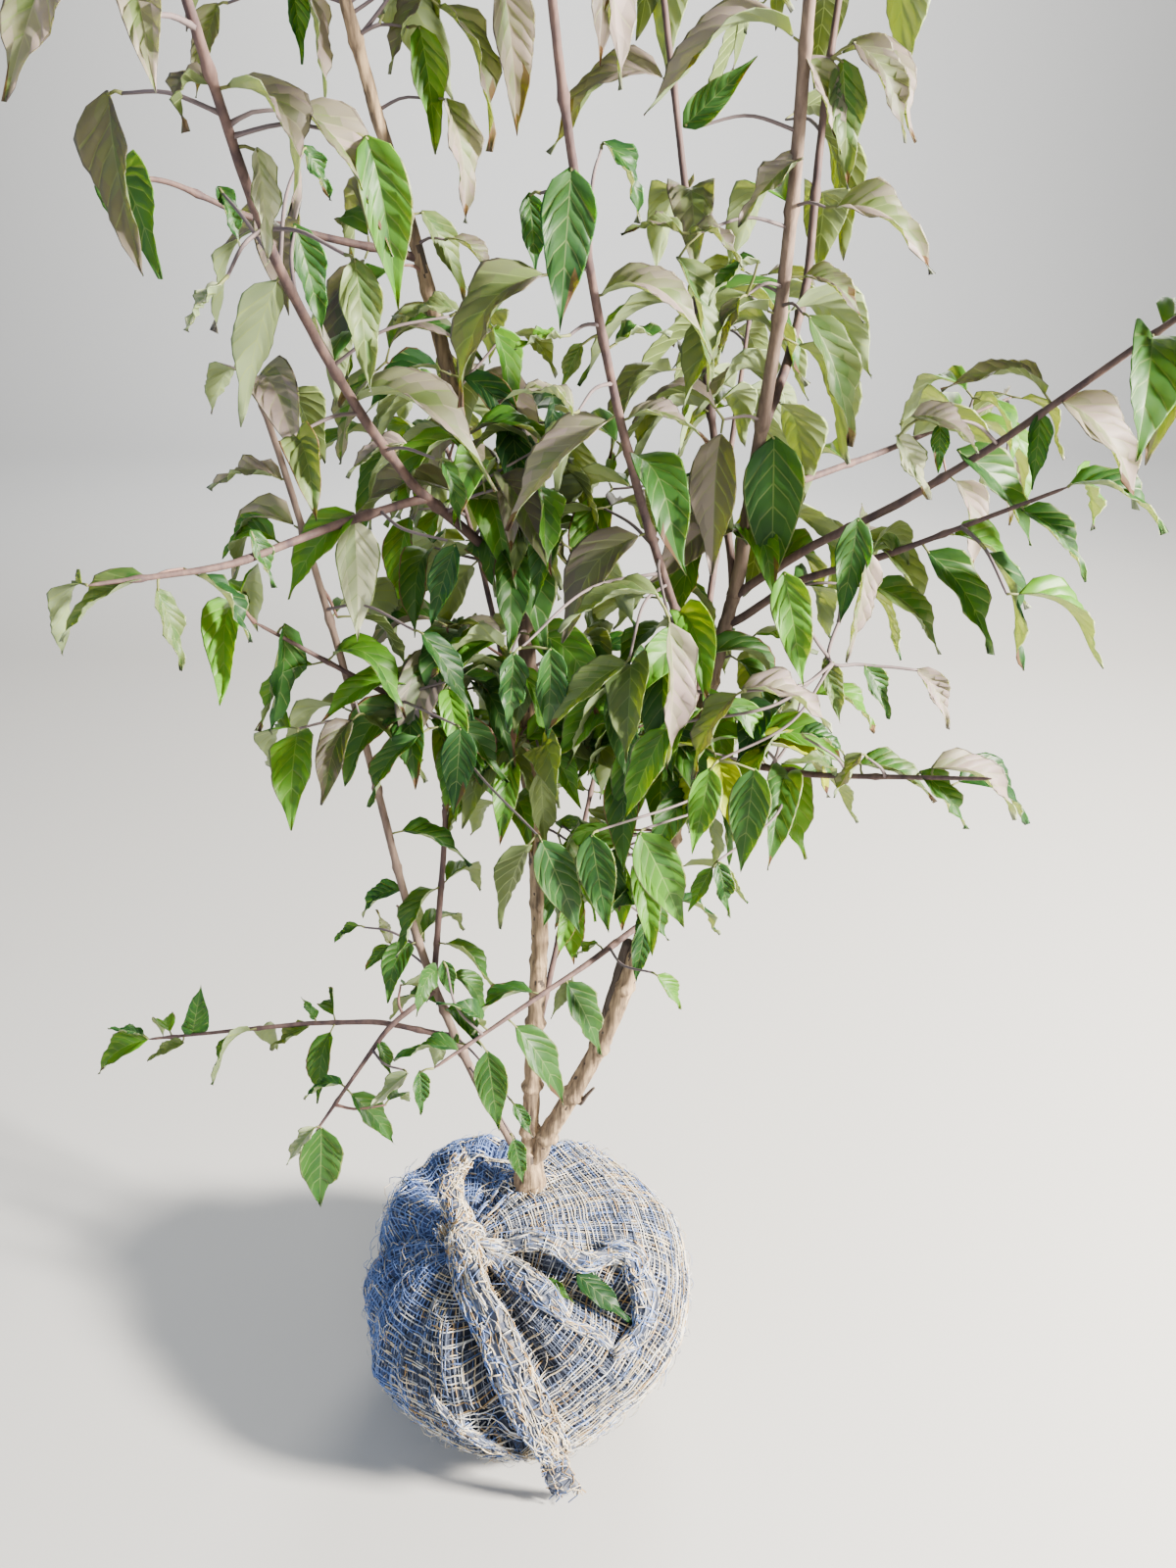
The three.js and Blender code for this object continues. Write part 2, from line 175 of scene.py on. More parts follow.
def bark_material(name, colour, dark, rough, specular, scale, detail, stretch, bump, bump_scale, vary=1.0):
    """A colour that noise, stretched along the limb, varies towards dark, with a fine noise bump."""
    mat = material(name, colour, rough, specular)
    nodes, links = mat.node_tree.nodes, mat.node_tree.links
    shader = nodes["Principled BSDF"]
    place = nodes.new("ShaderNodeTexCoord")
    fit = nodes.new("ShaderNodeMapping")
    fit.inputs["Scale"].default_value = (1, 1, stretch)
    noise = nodes.new("ShaderNodeTexNoise")
    noise.inputs["Scale"].default_value = scale
    noise.inputs["Detail"].default_value = detail
    noise.inputs["Roughness"].default_value = 0.6
    ramp = nodes.new("ShaderNodeValToRGB")
    for stop, at, tone in zip(ramp.color_ramp.elements, RAMP_ENDS, (mixed(colour, dark, vary), colour)):
        stop.position = at
        stop.color = (*tone, 1)
    fine = nodes.new("ShaderNodeTexNoise")
    fine.inputs["Scale"].default_value = bump_scale
    fine.inputs["Detail"].default_value = 3.0
    lift = nodes.new("ShaderNodeBump")
    lift.inputs["Strength"].default_value = 0.6
    lift.inputs["Distance"].default_value = bump
    links.new(place.outputs["Object"], fit.inputs["Vector"])
    links.new(fit.outputs["Vector"], noise.inputs["Vector"])
    links.new(noise.outputs["Fac"], ramp.inputs["Fac"])
    links.new(ramp.outputs["Color"], shader.inputs["Base Color"])
    links.new(fit.outputs["Vector"], fine.inputs["Vector"])
    links.new(fine.outputs["Fac"], lift.inputs["Height"])
    links.new(lift.outputs["Normal"], shader.inputs["Normal"])
    return mat


def mixed(first, last, share):
    """A colour between two others."""
    return tuple(mix(a, b, share) for a, b in zip(first, last))


LEAF_GLOW = 0.15
LEAF_SHINE = 0.28
LEAF_LOOKS = {
    "deep": ((0.016, 0.051, 0.017), 0.46),
    "green": ((0.032, 0.090, 0.021), 0.46),
    "bright": ((0.072, 0.190, 0.022), 0.46),
    "olive": ((0.105, 0.140, 0.055), 0.50),
    "yellow": ((0.330, 0.380, 0.030), 0.52),
    "bronze": ((0.100, 0.080, 0.070), 0.52),
    "mauve": ((0.248, 0.194, 0.178), 0.56),
    "rust": ((0.115, 0.058, 0.036), 0.5),
    "brown": ((0.080, 0.042, 0.025), 0.6),
    "pale": ((0.200, 0.250, 0.135), 0.6),
    "pale_warm": ((0.430, 0.440, 0.300), 0.6),
    "vein": ((0.220, 0.270, 0.110), 0.5),
}
MAIN_LOOKS = ("deep", "green", "bright", "olive", "yellow", "bronze", "mauve", "pale", "pale_warm")
LINE_SHARE = 0.34


def leaf_material(name, colour, rough):
    return material("leaf_" + name, colour, rough, LEAF_SHINE, glow=LEAF_GLOW)


def leaf_materials():
    """Plain colours, and for each main colour that of the small veins on it."""
    mats = {name: leaf_material(name, *look) for name, look in LEAF_LOOKS.items()}
    vein = LEAF_LOOKS["vein"][0]
    for name in MAIN_LOOKS:
        colour, rough = LEAF_LOOKS[name]
        mats[name + "_line"] = leaf_material(name + "_line", mixed(colour, vein, LINE_SHARE), rough)
    return mats


LEAF = leaf_materials()
LEAF_ORDER = list(LEAF)
BLEND_STEPS = 3


def blend(first, last, step):
    """The place in LEAF_ORDER of a colour some steps from the first to the last."""
    if step in (0, BLEND_STEPS) or first == last:
        return LEAF_ORDER.index(last if step else first)
    if first > last:
        first, last, step = last, first, BLEND_STEPS - step
    name = f"{first}_{last}_{step}"
    if name not in LEAF:
        (colour, rough), (other, other_rough) = LEAF_LOOKS[first], LEAF_LOOKS[last]
        share = step / BLEND_STEPS
        LEAF[name] = leaf_material(name, mixed(colour, other, share), mix(rough, other_rough, share))
        LEAF_ORDER.append(name)
    return LEAF_ORDER.index(name)


BARK_OLD = bark_material("bark_old", (0.500, 0.365, 0.235), (0.110, 0.082, 0.064), 0.9, 0.15, scale=170.0,
                         detail=8.0, stretch=0.08, bump=0.0030, bump_scale=190.0)
BARK_CRACK = bark_material("bark_crack", (0.150, 0.120, 0.100), (0.060, 0.048, 0.045), 0.9, 0.15, scale=150.0,
                           detail=6.0, stretch=0.2, bump=0.0020, bump_scale=200.0, vary=0.8)
BARK_RED = bark_material("bark_red", (0.195, 0.128, 0.109), (0.084, 0.058, 0.062), 0.65, 0.25, scale=110.0,
                         detail=6.0, stretch=0.16, bump=0.0008, bump_scale=200.0)
BARK_TAN = bark_material("bark_tan", (0.310, 0.228, 0.180), (0.130, 0.094, 0.080), 0.75, 0.2, scale=120.0,
                         detail=6.0, stretch=0.14, bump=0.0012, bump_scale=200.0)
TWIG_MATS = [material("twig_grey", (0.185, 0.145, 0.145), 0.6, 0.3),
             material("twig_red", (0.250, 0.150, 0.125), 0.6, 0.3)]
STALK = material("leaf_stalk", (0.190, 0.200, 0.085), 0.6, 0.3)
CLOTH_ROUGH = 0.95
CLOTH_SHINE = 0.1
CLOTH_SHEEN = 0.15
# Blue threads run through the whole cloth; on the side away from the key light many more are blue, tan ones
# grey and some slate, as painted shade.
THREAD_COLOURS = {
    "cream": (0.700, 0.590, 0.420), "white": (0.700, 0.685, 0.655), "blue": (0.185, 0.262, 0.490),
    "grey": (0.330, 0.345, 0.390), "tan": (0.430, 0.290, 0.150), "slate": (0.120, 0.140, 0.195),
}
THREAD_MATS = [material("thread_" + name, colour, CLOTH_ROUGH, CLOTH_SHINE, sheen=CLOTH_SHEEN)
               for name, colour in THREAD_COLOURS.items()]
BLUE, GREY, TAN, SLATE = (list(THREAD_COLOURS).index(name) for name in ("blue", "grey", "tan", "slate"))
# Blue felt is painted shade: only the undercloth on the side away from the key light takes it.
FELT_COLOURS = {
    "dark": (0.060, 0.068, 0.095), "mid": (0.130, 0.142, 0.185), "blue": (0.095, 0.125, 0.240),
    "pale": (0.240, 0.240, 0.255), "sand": (0.360, 0.300, 0.230),
}
FELTS = [material("felt_" + name, colour, CLOTH_ROUGH, CLOTH_SHINE) for name, colour in FELT_COLOURS.items()]
FLOOR = material("floor_plain", (0.50, 0.49, 0.475), 0.9, 0.2)


# Mesh making


class Pile:
    """Points and faces gathered for one joined mesh."""

    def __init__(self):
        self.points = []
        self.faces = []
        self.slots = []
        self.count = 0

    def add(self, points, *parts):
        """Adds points, and sets of triangles or quads on them with one material or one for each face."""
        for faces, slots in parts:
            self.faces.append(faces + self.count)
            self.slots.append(np.broadcast_to(np.asarray(slots, np.int32), (len(faces),)))
        self.points.append(points)
        self.count += len(points)

    def build(self, name, mats, slot, replaces=()):
        """The joined mesh, with triangles before quads and only the materials that its faces use."""
        order = sorted(range(len(self.faces)), key=lambda i: self.faces[i].shape[1])
        faces = [self.faces[i] for i in order]
        used, slots = np.unique(np.concatenate([self.slots[i] for i in order]), return_inverse=True)
        sizes = np.concatenate([np.full(len(f), f.shape[1], np.int32) for f in faces])
        corners = np.concatenate([f.ravel() for f in faces]).astype(np.int32)
        points = np.concatenate(self.points)
        mesh = bpy.data.meshes.new(name)
        mesh.vertices.add(len(points))
        mesh.vertices.foreach_set("co", np.asarray(points, np.float32).ravel())
        mesh.loops.add(len(corners))
        mesh.loops.foreach_set("vertex_index", corners)
        mesh.polygons.add(len(sizes))
        mesh.polygons.foreach_set("loop_start", np.cumsum(sizes, dtype=np.int32) - sizes)
        for i in used:
            mesh.materials.append(mats[i])
        mesh.polygons.foreach_set("material_index", np.asarray(slots, np.int32))
        mesh.polygons.foreach_set("use_smooth", np.full(len(sizes), True))
        mesh.update(calc_edges=True)
        mesh.validate()
        thing = bpy.data.objects.new(name, mesh)
        bpy.context.scene.collection.objects.link(thing)
        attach(thing, "root")
        if replaces:
            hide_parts(*replaces)


def tube_sides(rings, sides):
    """Quads of a tube of rings."""
    ring, corner = np.meshgrid(np.arange(rings - 1), np.arange(sides), indexing="ij")
    a = (ring * sides + corner).ravel()
    b = (ring * sides + (corner + 1) % sides).ravel()
    return np.stack([a, b, b + sides, a + sides], 1)


def tube_faces(rings, sides):
    """Quads of a tube of rings, and triangles of its two ends round points put after the rings."""
    first, last = rings * sides, rings * sides + 1
    c = np.arange(sides)
    d = (c + 1) % sides
    low = np.stack([np.full(sides, first), d, c], 1)
    top = (rings - 1) * sides
    high = np.stack([np.full(sides, last), top + c, top + d], 1)
    return tube_sides(rings, sides), np.concatenate([low, high])


def path_frames(path):
    """Tangents and two sideways directions that don't twist, along a path."""
    along = unit(np.gradient(path, axis=0))
    side = np.zeros_like(path)
    side[0] = across(along[0])
    for i in range(1, len(path)):
        side[i] = unit(side[i - 1] - along[i] * np.dot(side[i - 1], along[i]))
    return along, side, np.cross(along, side)


def add_tube(pile, path, radius, sides, relief=None, tones=0, end_tone=0):
    """A closed tube round a path. relief(angle, distance) is added to the radius."""
    path = np.asarray(path, float)
    along, side, rise = path_frames(path)
    radius = np.broadcast_to(radius, (len(path),))
    angle = round_angles(sides)
    size = np.repeat(radius[:, None], sides, 1)
    if relief is not None:
        size = size + relief(angle[None, :], travelled(path)[:, None])
    ring = side[:, None] * np.cos(angle)[None, :, None] + rise[:, None] * np.sin(angle)[None, :, None]
    points = path[:, None] + ring * size[..., None]
    ends = np.stack([path[0] - along[0] * radius[0] * 0.4, path[-1] + along[-1] * radius[-1] * 0.8])
    quads, caps = tube_faces(len(path), sides)
    pile.add(np.concatenate([points.reshape(-1, 3), ends]), (quads, tones), (caps, end_tone))


def curve_through(points, step):
    """Even points on a smooth curve through the given ones."""
    points = np.asarray(points, float)
    ext = np.vstack([2 * points[0] - points[1], points, 2 * points[-1] - points[-2]])
    out = []
    for i in range(1, len(ext) - 2):
        p0, p1, p2, p3 = ext[i - 1:i + 3]
        t = np.linspace(0, 1, 16, endpoint=False)[:, None]
        out.append(0.5 * (2 * p1 + (p2 - p0) * t + (2 * p0 - 5 * p1 + 4 * p2 - p3) * t ** 2
                          + (3 * p1 - p0 - 3 * p2 + p3) * t ** 3))
    dense = np.vstack(out + [points[-1:]])
    return resample(dense, step)


def resample(path, step):
    far = travelled(path)
    count = max(3, int(round(far[-1] / step)) + 1)
    return picked(np.linspace(0, far[-1], count), far, path)


# Limbs, traced from the CAD solids

SHOOT_TIPS = {
    "shoot_right_low": (0.430, -0.110, 1.190),
    "shoot_right_far": (0.485, 0.200, 1.195),
    "shoot_right_droop": (0.385, -0.185, 0.985),
    "shoot_left_high": (-0.275, -0.190, 1.142),
    "shoot_top_left": (-0.254, -0.066, 1.392),
    "shoot_left_mid": (-0.195, -0.080, 1.072),
    "shoot_low_front": (-0.070, -0.140, 0.650),
    "shoot_low_left": (-0.205, -0.092, 0.520),
    "shoot_low_far": (-0.415, 0.032, 0.535),
    "shoot_rear_left": (-0.085, 0.270, 1.180),
    "shoot_rear_right": (0.245, 0.320, 1.290),
    "shoot_rear_low": (0.105, 0.260, 0.890),
}
YOUNG_STEMS = {"stem_front", "stem_centre", "stem_mid", "stem_thin", "stem_thin_inner", "stem_far",
               "stem_upright"}
TAN_STEMS = {"stem_upright", "stem_thin"}
FORKED = {"stem_left", "stem_right"}
FORK_CUT = 0.012
PARENT_BELOW = 0.02
PARENT_NEAR = 0.06
SLICE_STEP = 0.012
LIMB_STEP = 0.007


def solid_of(name):
    """Points and triangles of a CAD node."""
    mesh = NODES[name].data
    points = np.empty(len(mesh.vertices) * 3, np.float32)
    mesh.vertices.foreach_get("co", points)
    mesh.calc_loop_triangles()
    tris = np.empty(len(mesh.loop_triangles) * 3, np.int32)
    mesh.loop_triangles.foreach_get("vertices", tris)
    return points.reshape(-1, 3).astype(float), tris.reshape(-1, 3)


def longest_way(points):
    """The lower end of a long thin solid, and the way along it."""
    mid = points.mean(0)
    axis = np.linalg.svd(points - mid, full_matrices=False)[2][0]
    return mid + axis * ((points - mid) @ axis).min(), axis


def trace(name):
    """The centre-line and radius of a limb, from slices across its longest direction."""
    points, tris = solid_of(name)
    low, axis = longest_way(points)
    edges = np.concatenate([tris[:, [0, 1]], tris[:, [1, 2]], tris[:, [2, 0]]])
    far = (points - low) @ axis
    length = far.max()
    levels = np.linspace(0.004, length - 0.004, max(4, int(length / SLICE_STEP)))
    line, rings = [], []
    for level in levels:
        a, b = far[edges[:, 0]], far[edges[:, 1]]
        hit = (a < level) & (b >= level)
        if hit.sum() < 5:
            continue
        share = ((level - a[hit]) / (b[hit] - a[hit]))[:, None]
        ring = mix(points[edges[hit, 0]], points[edges[hit, 1]], share)
        line.append((ring.min(0) + ring.max(0)) / 2)
        rings.append(ring)
    line = np.array(line)
    along = unit(np.gradient(line, axis=0))
    size = []
    for mid, way, ring in zip(line, along, rings):
        out = ring - mid
        out = out - np.outer(out @ way, way)
        size.append(np.median(np.linalg.norm(out, axis=1)))
    size = np.array(size)
    if size[:len(size) // 3].mean() < size[-len(size) // 3:].mean():
        line, size = line[::-1], size[::-1]
    return line, size


class Limb:
    """A centre-line from base to tip with a radius at each point."""

    def __init__(self, name, line, size, kind):
        self.name = name
        self.line = line
        self.size = size
        self.kind = kind
        self.far = travelled(line)
        self.length = self.far[-1]

    def at(self, distance):
        """The place at a distance from the base, and the way on from it."""
        i = min(max(np.searchsorted(self.far, distance), 1), len(self.far) - 1)
        return picked(distance, self.far, self.line), unit(self.line[i] - self.line[i - 1])


def nearest_wood(start, name, lines):
    """The gap to the nearest point of another limb that starts lower, and that point."""
    best = None
    for other, path in lines.items():
        if other == name or path[0, 2] > start[2] - PARENT_BELOW:
            continue
        gap = np.linalg.norm(path - start, axis=1)
        i = min(gap.argmin(), len(path) - 2)
        if best is None or gap[i] < best[0]:
            best = (gap[i], path[i])
    return best


def smoothed(line, size):
    """Even points and radii without kinks, thinner all the way to a rounded tip."""
    path = resample(line, LIMB_STEP)
    far = travelled(line)
    radius = np.interp(np.linspace(0, 1, len(path)) * far[-1], far, size)
    for _ in range(4):
        soften(radius)
        soften(path)
    radius = np.maximum.accumulate(radius[::-1])[::-1]
    to_tip = np.linalg.norm(path - path[-1], axis=1) / radius[-1]
    return path, radius * np.sqrt(np.clip(1 - (1 - np.minimum(to_tip, 1)) ** 2, 0.10, 1))


def traced_limbs():
    """The stock, then every stem and shoot, joined to its parent and taken on to its tip."""
    raw = {name: trace(name) for name in NODES if name.startswith(("stem_", "shoot_"))}
    for name in FORKED:
        line, size = raw[name]
        keep = line[:, 2] < line[-1, 2] - FORK_CUT
        raw[name] = (line[keep], size[keep])
    line, size = trace("stock")
    if line[0, 2] > line[-1, 2]:
        line, size = line[::-1], size[::-1]
    limbs = {"stock": Limb("stock", line, size, "old")}
    lines = {name: line for name, (line, _) in raw.items()}
    lines["stock"] = limbs["stock"].line
    for name, (line, size) in raw.items():
        gap, parent = nearest_wood(line[0], name, lines)
        if gap < PARENT_NEAR:
            line = np.vstack([parent + unit(line[0] - parent) * 0.002, line])
            size = np.concatenate([[size[0]], size])
        if name in SHOOT_TIPS:
            line = np.vstack([line, SHOOT_TIPS[name]])
            size = np.concatenate([size, [size[-1] * 0.55]])
        kind = "young" if name.startswith("shoot") or name in YOUNG_STEMS else "old"
        limbs[name] = Limb(name, *smoothed(line, size), kind)
    return limbs


LIMBS = traced_limbs()


# Bark

GRAIN_ROWS = 512
CRACK_BELOW = -0.085
YOUNG_FROM = (0.90, 1.05)


def grain(seed, columns, cell):
    """Smooth noise, about -1 to 1, round a tube of that many columns and along it in cells of a length."""
    table = np.random.default_rng(seed).uniform(-1, 1, (GRAIN_ROWS, columns))

    def row(j, i, share):
        j = j % GRAIN_ROWS
        return mix(table[j, i % columns], table[j, (i + 1) % columns], share)

    def value(angle, far):
        u, v = np.broadcast_arrays(angle / (2 * math.pi) * columns, far / cell)
        i, j = np.floor(u).astype(int), np.floor(v).astype(int)
        a, b = smooth(u - i), smooth(v - j)
        return mix(row(j, i, a), row(j + 1, i, a), b)

    return value


def bark_relief(limb, knots, seed):
    """Height of the bark over the limb's radius, from fissures, swollen nodes and the flare at the base."""
    plates = grain(seed, 9, 0.028)
    flakes = grain(seed + 1, 15, 0.011)
    rough = grain(seed + 2, 24, 0.004)
    thick = limb.size.mean()
    depth = 0.13 * thick if limb.kind == "old" else 0.05 * thick

    def relief(angle, far):
        far = np.maximum(far, 0)
        furrow = np.abs(plates(angle + 0.8 * np.sin(far * 30), far))
        plate = smooth(furrow, 0.0, 0.35) - 0.75
        out = depth * (plate + 0.45 * flakes(angle, far) + 0.30 * rough(angle, far))
        for knot, lump in knots:
            swell = 1 + 0.4 * np.sin(2 * angle + knot * 90)
            out = out + lump * thick * np.exp(-((far - knot) / 0.0045) ** 2) * swell
        return out + 0.20 * thick * np.exp(-far / 0.012)

    return relief


def grow_bark(limb, seed, knots, sides, step, mats):
    """One closed mesh for a limb, with deep fissures in old bark and young bark where a stem forks."""
    path = resample(limb.line, step)
    far = np.linspace(0, limb.length, len(path))
    radius = np.interp(far, limb.far, limb.size)
    relief = bark_relief(limb, knots, seed)
    angle = round_angles(sides)[None, :]
    height = relief(angle, far[:, None]) / limb.size.mean()
    low = height[:-1] + np.roll(height, -1, 1)[:-1] + height[1:] + np.roll(height, -1, 1)[1:]
    tones = ((low.ravel() / 4 < CRACK_BELOW) & (len(mats) > 1)).astype(np.int32)
    if limb.name in FORKED:
        patch = grain(seed + 3, 7, 0.012)(angle, far[:-1, None]).ravel()
        young = np.repeat(smooth(path[:-1, 2], *YOUNG_FROM), sides)
        tones = np.where(young + 0.25 * patch > 0.5, 2, tones)
    pile = Pile()
    add_tube(pile, path, radius, sides, relief, tones)
    pile.build("bark_" + limb.name, mats, "bark", replaces=(limb.name,))


# Leaves

VEINS = np.array([0.09, 0.20, 0.33, 0.48, 0.64])
VEIN_HALF = 0.007
CRESTS = np.concatenate([(VEINS[:-1] + VEINS[1:]) / 2, [0.76, 0.87]])
LEAF_STEPS = np.sort(np.concatenate([[0, 0.014, 0.034, 0.058, 1], VEINS - VEIN_HALF, VEINS + VEIN_HALF,
                                     CRESTS]))
LEAF_COLUMNS = np.array([-1, -0.93, -0.52, -0.026, 0.026, 0.52, 0.93, 1])
VEIN_SWEEP = 0.36
OUTLINE_AT = np.array([0, 0.03, 0.1, 0.2, 0.32, 0.42, 0.55, 0.68, 0.8, 0.88, 0.94, 1])
OUTLINE = np.array([0.05, 0.30, 0.64, 0.90, 1, 0.97, 0.83, 0.60, 0.35, 0.19, 0.09, 0.015])
LEAF_THICK = 0.0004
VEIN_DIP = 0.0034
MIDRIB_DIP = 0.0006
SPINE_POINTS = 40


def leaf_template():
    """Grid faces of a leaf's two sides, which share their rim, and the place of each face on the leaf."""
    rows, columns = len(LEAF_STEPS), len(LEAF_COLUMNS)
    top = np.arange(rows * columns).reshape(rows, columns)
    inside = np.zeros((rows, columns), bool)
    inside[1:-1, 1:-1] = True
    under = top.copy()
    under[inside] = rows * columns + np.arange(inside.sum())
    sides = []
    for grid, order in ((top, [0, 1, 2, 3]), (under, [0, 3, 2, 1])):
        corners = [grid[:-1, :-1], grid[:-1, 1:], grid[1:, 1:], grid[1:, :-1]]
        sides.append(np.stack(corners, -1).reshape(-1, 4)[:, order])
    s, t = ((at[:-1] + at[1:]) / 2 for at in (LEAF_STEPS, LEAF_COLUMNS))
    s, t = np.meshgrid(s, t, indexing="ij")
    return np.concatenate(sides), inside, s.ravel(), t.ravel()


LEAF_FACES, LEAF_INSIDE, FACE_S, FACE_T = leaf_template()
ON_VEIN = np.abs(FACE_S[:, None] - VEINS[None]).min(1) < VEIN_HALF * 0.5
SIDE = np.sign(FACE_T)
# How much the two halves of a leaf differ: those that turn colour do so more on one side
TURNING = {"bronze", "mauve", "pale_warm"}
UNEVEN = 0.38
UNEVEN_GREEN = 0.15


def leaf_tones(look, own):
    """The material of each face of a leaf, from its spray's look."""
    index = LEAF_ORDER.index
    main, base, rim, tip, back = look
    edge = np.abs(FACE_T)
    ragged = 0.16 * np.sin(FACE_S * own.uniform(9, 16) + SIDE * own.uniform(0, 3) + own.uniform(0, 6))
    turned = own.uniform(0.1, 0.6) + 0.7 * edge + own.uniform(-0.2, 0.8) * (FACE_S - 0.4) + ragged
    turned = turned + SIDE * own.normal(0, UNEVEN if main in TURNING else UNEVEN_GREEN)
    step = np.clip(np.rint(turned * BLEND_STEPS), 0, BLEND_STEPS).astype(int)
    tones = np.array([blend(base, main, k) for k in range(BLEND_STEPS + 1)])[step]
    for tone, chosen in ((base, step < 2), (main, step >= 2)):
        tones[ON_VEIN & (edge < 0.9) & chosen] = index(tone + "_line")
    tones[(edge > 0.9) & (FACE_S > 0.03)] = index(rim)
    tones[FACE_S > own.uniform(0.86, 1.02)] = index(tip)
    if own.random() < 0.12:
        scorched = (edge > 0.6) & (FACE_S > own.uniform(0.5, 0.8)) & (FACE_T * own.choice([-1, 1]) > 0)
        tones[scorched] = index("brown")
    tones[edge < 0.05] = index(main + "_line")
    under = np.full(len(FACE_S), index(back))
    under[(edge < 0.05) | ON_VEIN] = index("vein")
    return np.concatenate([tones, under])


def hanging_spine(base, way, top, length, droop, twist, own):
    """A midrib that starts along way and bends down, with the directions across and out of the blade."""
    way = unit(way)
    normal = unit(top - way * np.dot(top, way))
    axis = np.cross(way, -UP)
    if np.linalg.norm(axis) < 0.08:
        axis = np.cross(way, normal)
    axis = unit(axis)
    ahead = np.cross(axis, way)
    full = math.acos(np.clip(-way[2], -1, 1))
    fine = np.linspace(0, 1, SPINE_POINTS)
    bend = full * droop * smooth(fine, -0.22, own.uniform(0.60, 0.95))
    bend = bend - bend[0] - own.uniform(-0.1, 0.45) * smooth(fine, 0.65, 1.0)
    c, s = np.cos(bend)[:, None], np.sin(bend)[:, None]
    along = way * c + ahead * s
    flat = axis * np.dot(normal, axis) + np.dot(normal, ahead) * (ahead * c - way * s)
    side = np.cross(along, unit(flat))
    roll = (twist * fine)[:, None]
    side, flat = side * np.cos(roll) + flat * np.sin(roll), flat * np.cos(roll) - side * np.sin(roll)
    sway = side * (own.normal(0, 0.10) * np.sin(fine * 3.0))[:, None]
    line = base + np.cumsum(along + sway, axis=0) * length / len(fine)
    return line, side, flat


def aimed_spine(base, tip, top, arch, twist):
    """A midrib from base to tip, arched by a share of its length towards top, where its upper face looks."""
    fine = np.linspace(0, 1, SPINE_POINTS)[:, None]
    bend = mix(base, tip, 0.42 - 0.25 * min(abs(arch), 1)) + top * arch * np.linalg.norm(tip - base)
    line = base * (1 - fine) ** 2 + bend * 2 * fine * (1 - fine) + tip * fine ** 2
    along = unit(np.gradient(line, axis=0))
    side = np.broadcast_to(np.cross(unit(tip - base), top), along.shape)
    flat = np.cross(side, along)
    roll = twist * fine
    return line, side * np.cos(roll) + flat * np.sin(roll), flat * np.cos(roll) - side * np.sin(roll)


def blade(spine, width, fold, own):
    """Points of a blade on its spine, folded up along the midrib, quilted between veins, wavy at the rim."""
    fine = np.linspace(0, 1, len(spine[0]))
    step, column = np.meshgrid(LEAF_STEPS, LEAF_COLUMNS, indexing="ij")
    edge = np.abs(column)
    place = step + VEIN_SWEEP * edge ** 1.25 * (1 - step) * (1 - np.exp(-step / 0.045))
    reach = column * np.interp(place, OUTLINE_AT, OUTLINE) * width / 2
    veins = np.abs(LEAF_STEPS[:, None] - VEINS[None]).min(1) < VEIN_HALF * 1.5
    dip = VEIN_DIP * veins[:, None] * smooth(edge, 0.0, 0.3) * (1 - 0.7 * smooth(edge, 0.7, 1.0))
    wave = own.uniform(0.0015, 0.0040) * edge ** 3 * np.sin(
        place * own.uniform(11, 18) + own.uniform(0, 6) + (column > 0) * own.uniform(1.5, 4))
    wave = wave * smooth(place, 0.05, 0.3)
    open_up = fold * (1 - 0.35 * edge) * mix(1.0, 0.8, place)
    rise = np.abs(reach) * np.sin(open_up) - dip + wave - MIDRIB_DIP * (edge < 0.06)
    reach = reach * np.cos(open_up)
    line, side, flat = (picked(place, fine, field) for field in spine)
    points = line + side * reach[..., None] + flat * rise[..., None]
    under = (points - flat * LEAF_THICK)[LEAF_INSIDE]
    return np.concatenate([points.reshape(-1, 3), under])


# Growth

def mass_of(name):
    """The middle and the half sizes of a mass of leaves."""
    low, high = box_of(name)
    return (low + high) / 2, (high - low) / 2


MASSES = {name: mass_of(name) for name in NODES if name.startswith("leaves_")}
CAD_LOW, CAD_HIGH = (np.array(corner) for corner in cad_box)
ROOM = 0.03 * (CAD_HIGH - CAD_LOW) + 0.006


def depth_in(point, name):
    """Below 1 inside a mass of leaves, 1 on its surface."""
    mid, half = MASSES[name]
    return float(np.linalg.norm((point - mid) / half))


def inside_room(points):
    return bool((points > CAD_LOW - ROOM).all() and (points < CAD_HIGH + ROOM).all())


def leaf_length(height):
    """Leaves are larger up the shrub."""
    return np.interp(height, [0.45, 0.70, 0.95, 1.3, 1.8], [0.074, 0.084, 0.108, 0.122, 0.118])


def spray_look(height, own):
    """The tones of the leaves of one spray: main, base, rim, tip and underside."""
    bronze = np.interp(height, [0.8, 1.05, 1.25, 1.45], [0.0, 0.14, 0.62, 0.80])
    roll = own.random()
    if roll < bronze:
        main, bases = ("bronze", ["green", "olive", "mauve"]) if roll < bronze * 0.5 else (
            "mauve", ["olive", "olive", "green"])
        return main, own.choice(bases), "bronze", "rust", own.choice(["pale", "olive"])
    if height < 0.78:
        main = own.choice(["deep", "green", "green", "bright"])
    else:
        main = own.choice(["deep", "green", "bright", "olive"], p=[0.10, 0.28, 0.43, 0.19])
    if height < 1.05 and own.random() < 0.015:
        return "yellow", "bright", "olive", "rust", "pale_warm"
    rim = own.choice(["rust", main, main, main, "olive"])
    tip = own.choice([main, main, "rust"])
    return main, own.choice([main, "green"]), rim, tip, "pale"


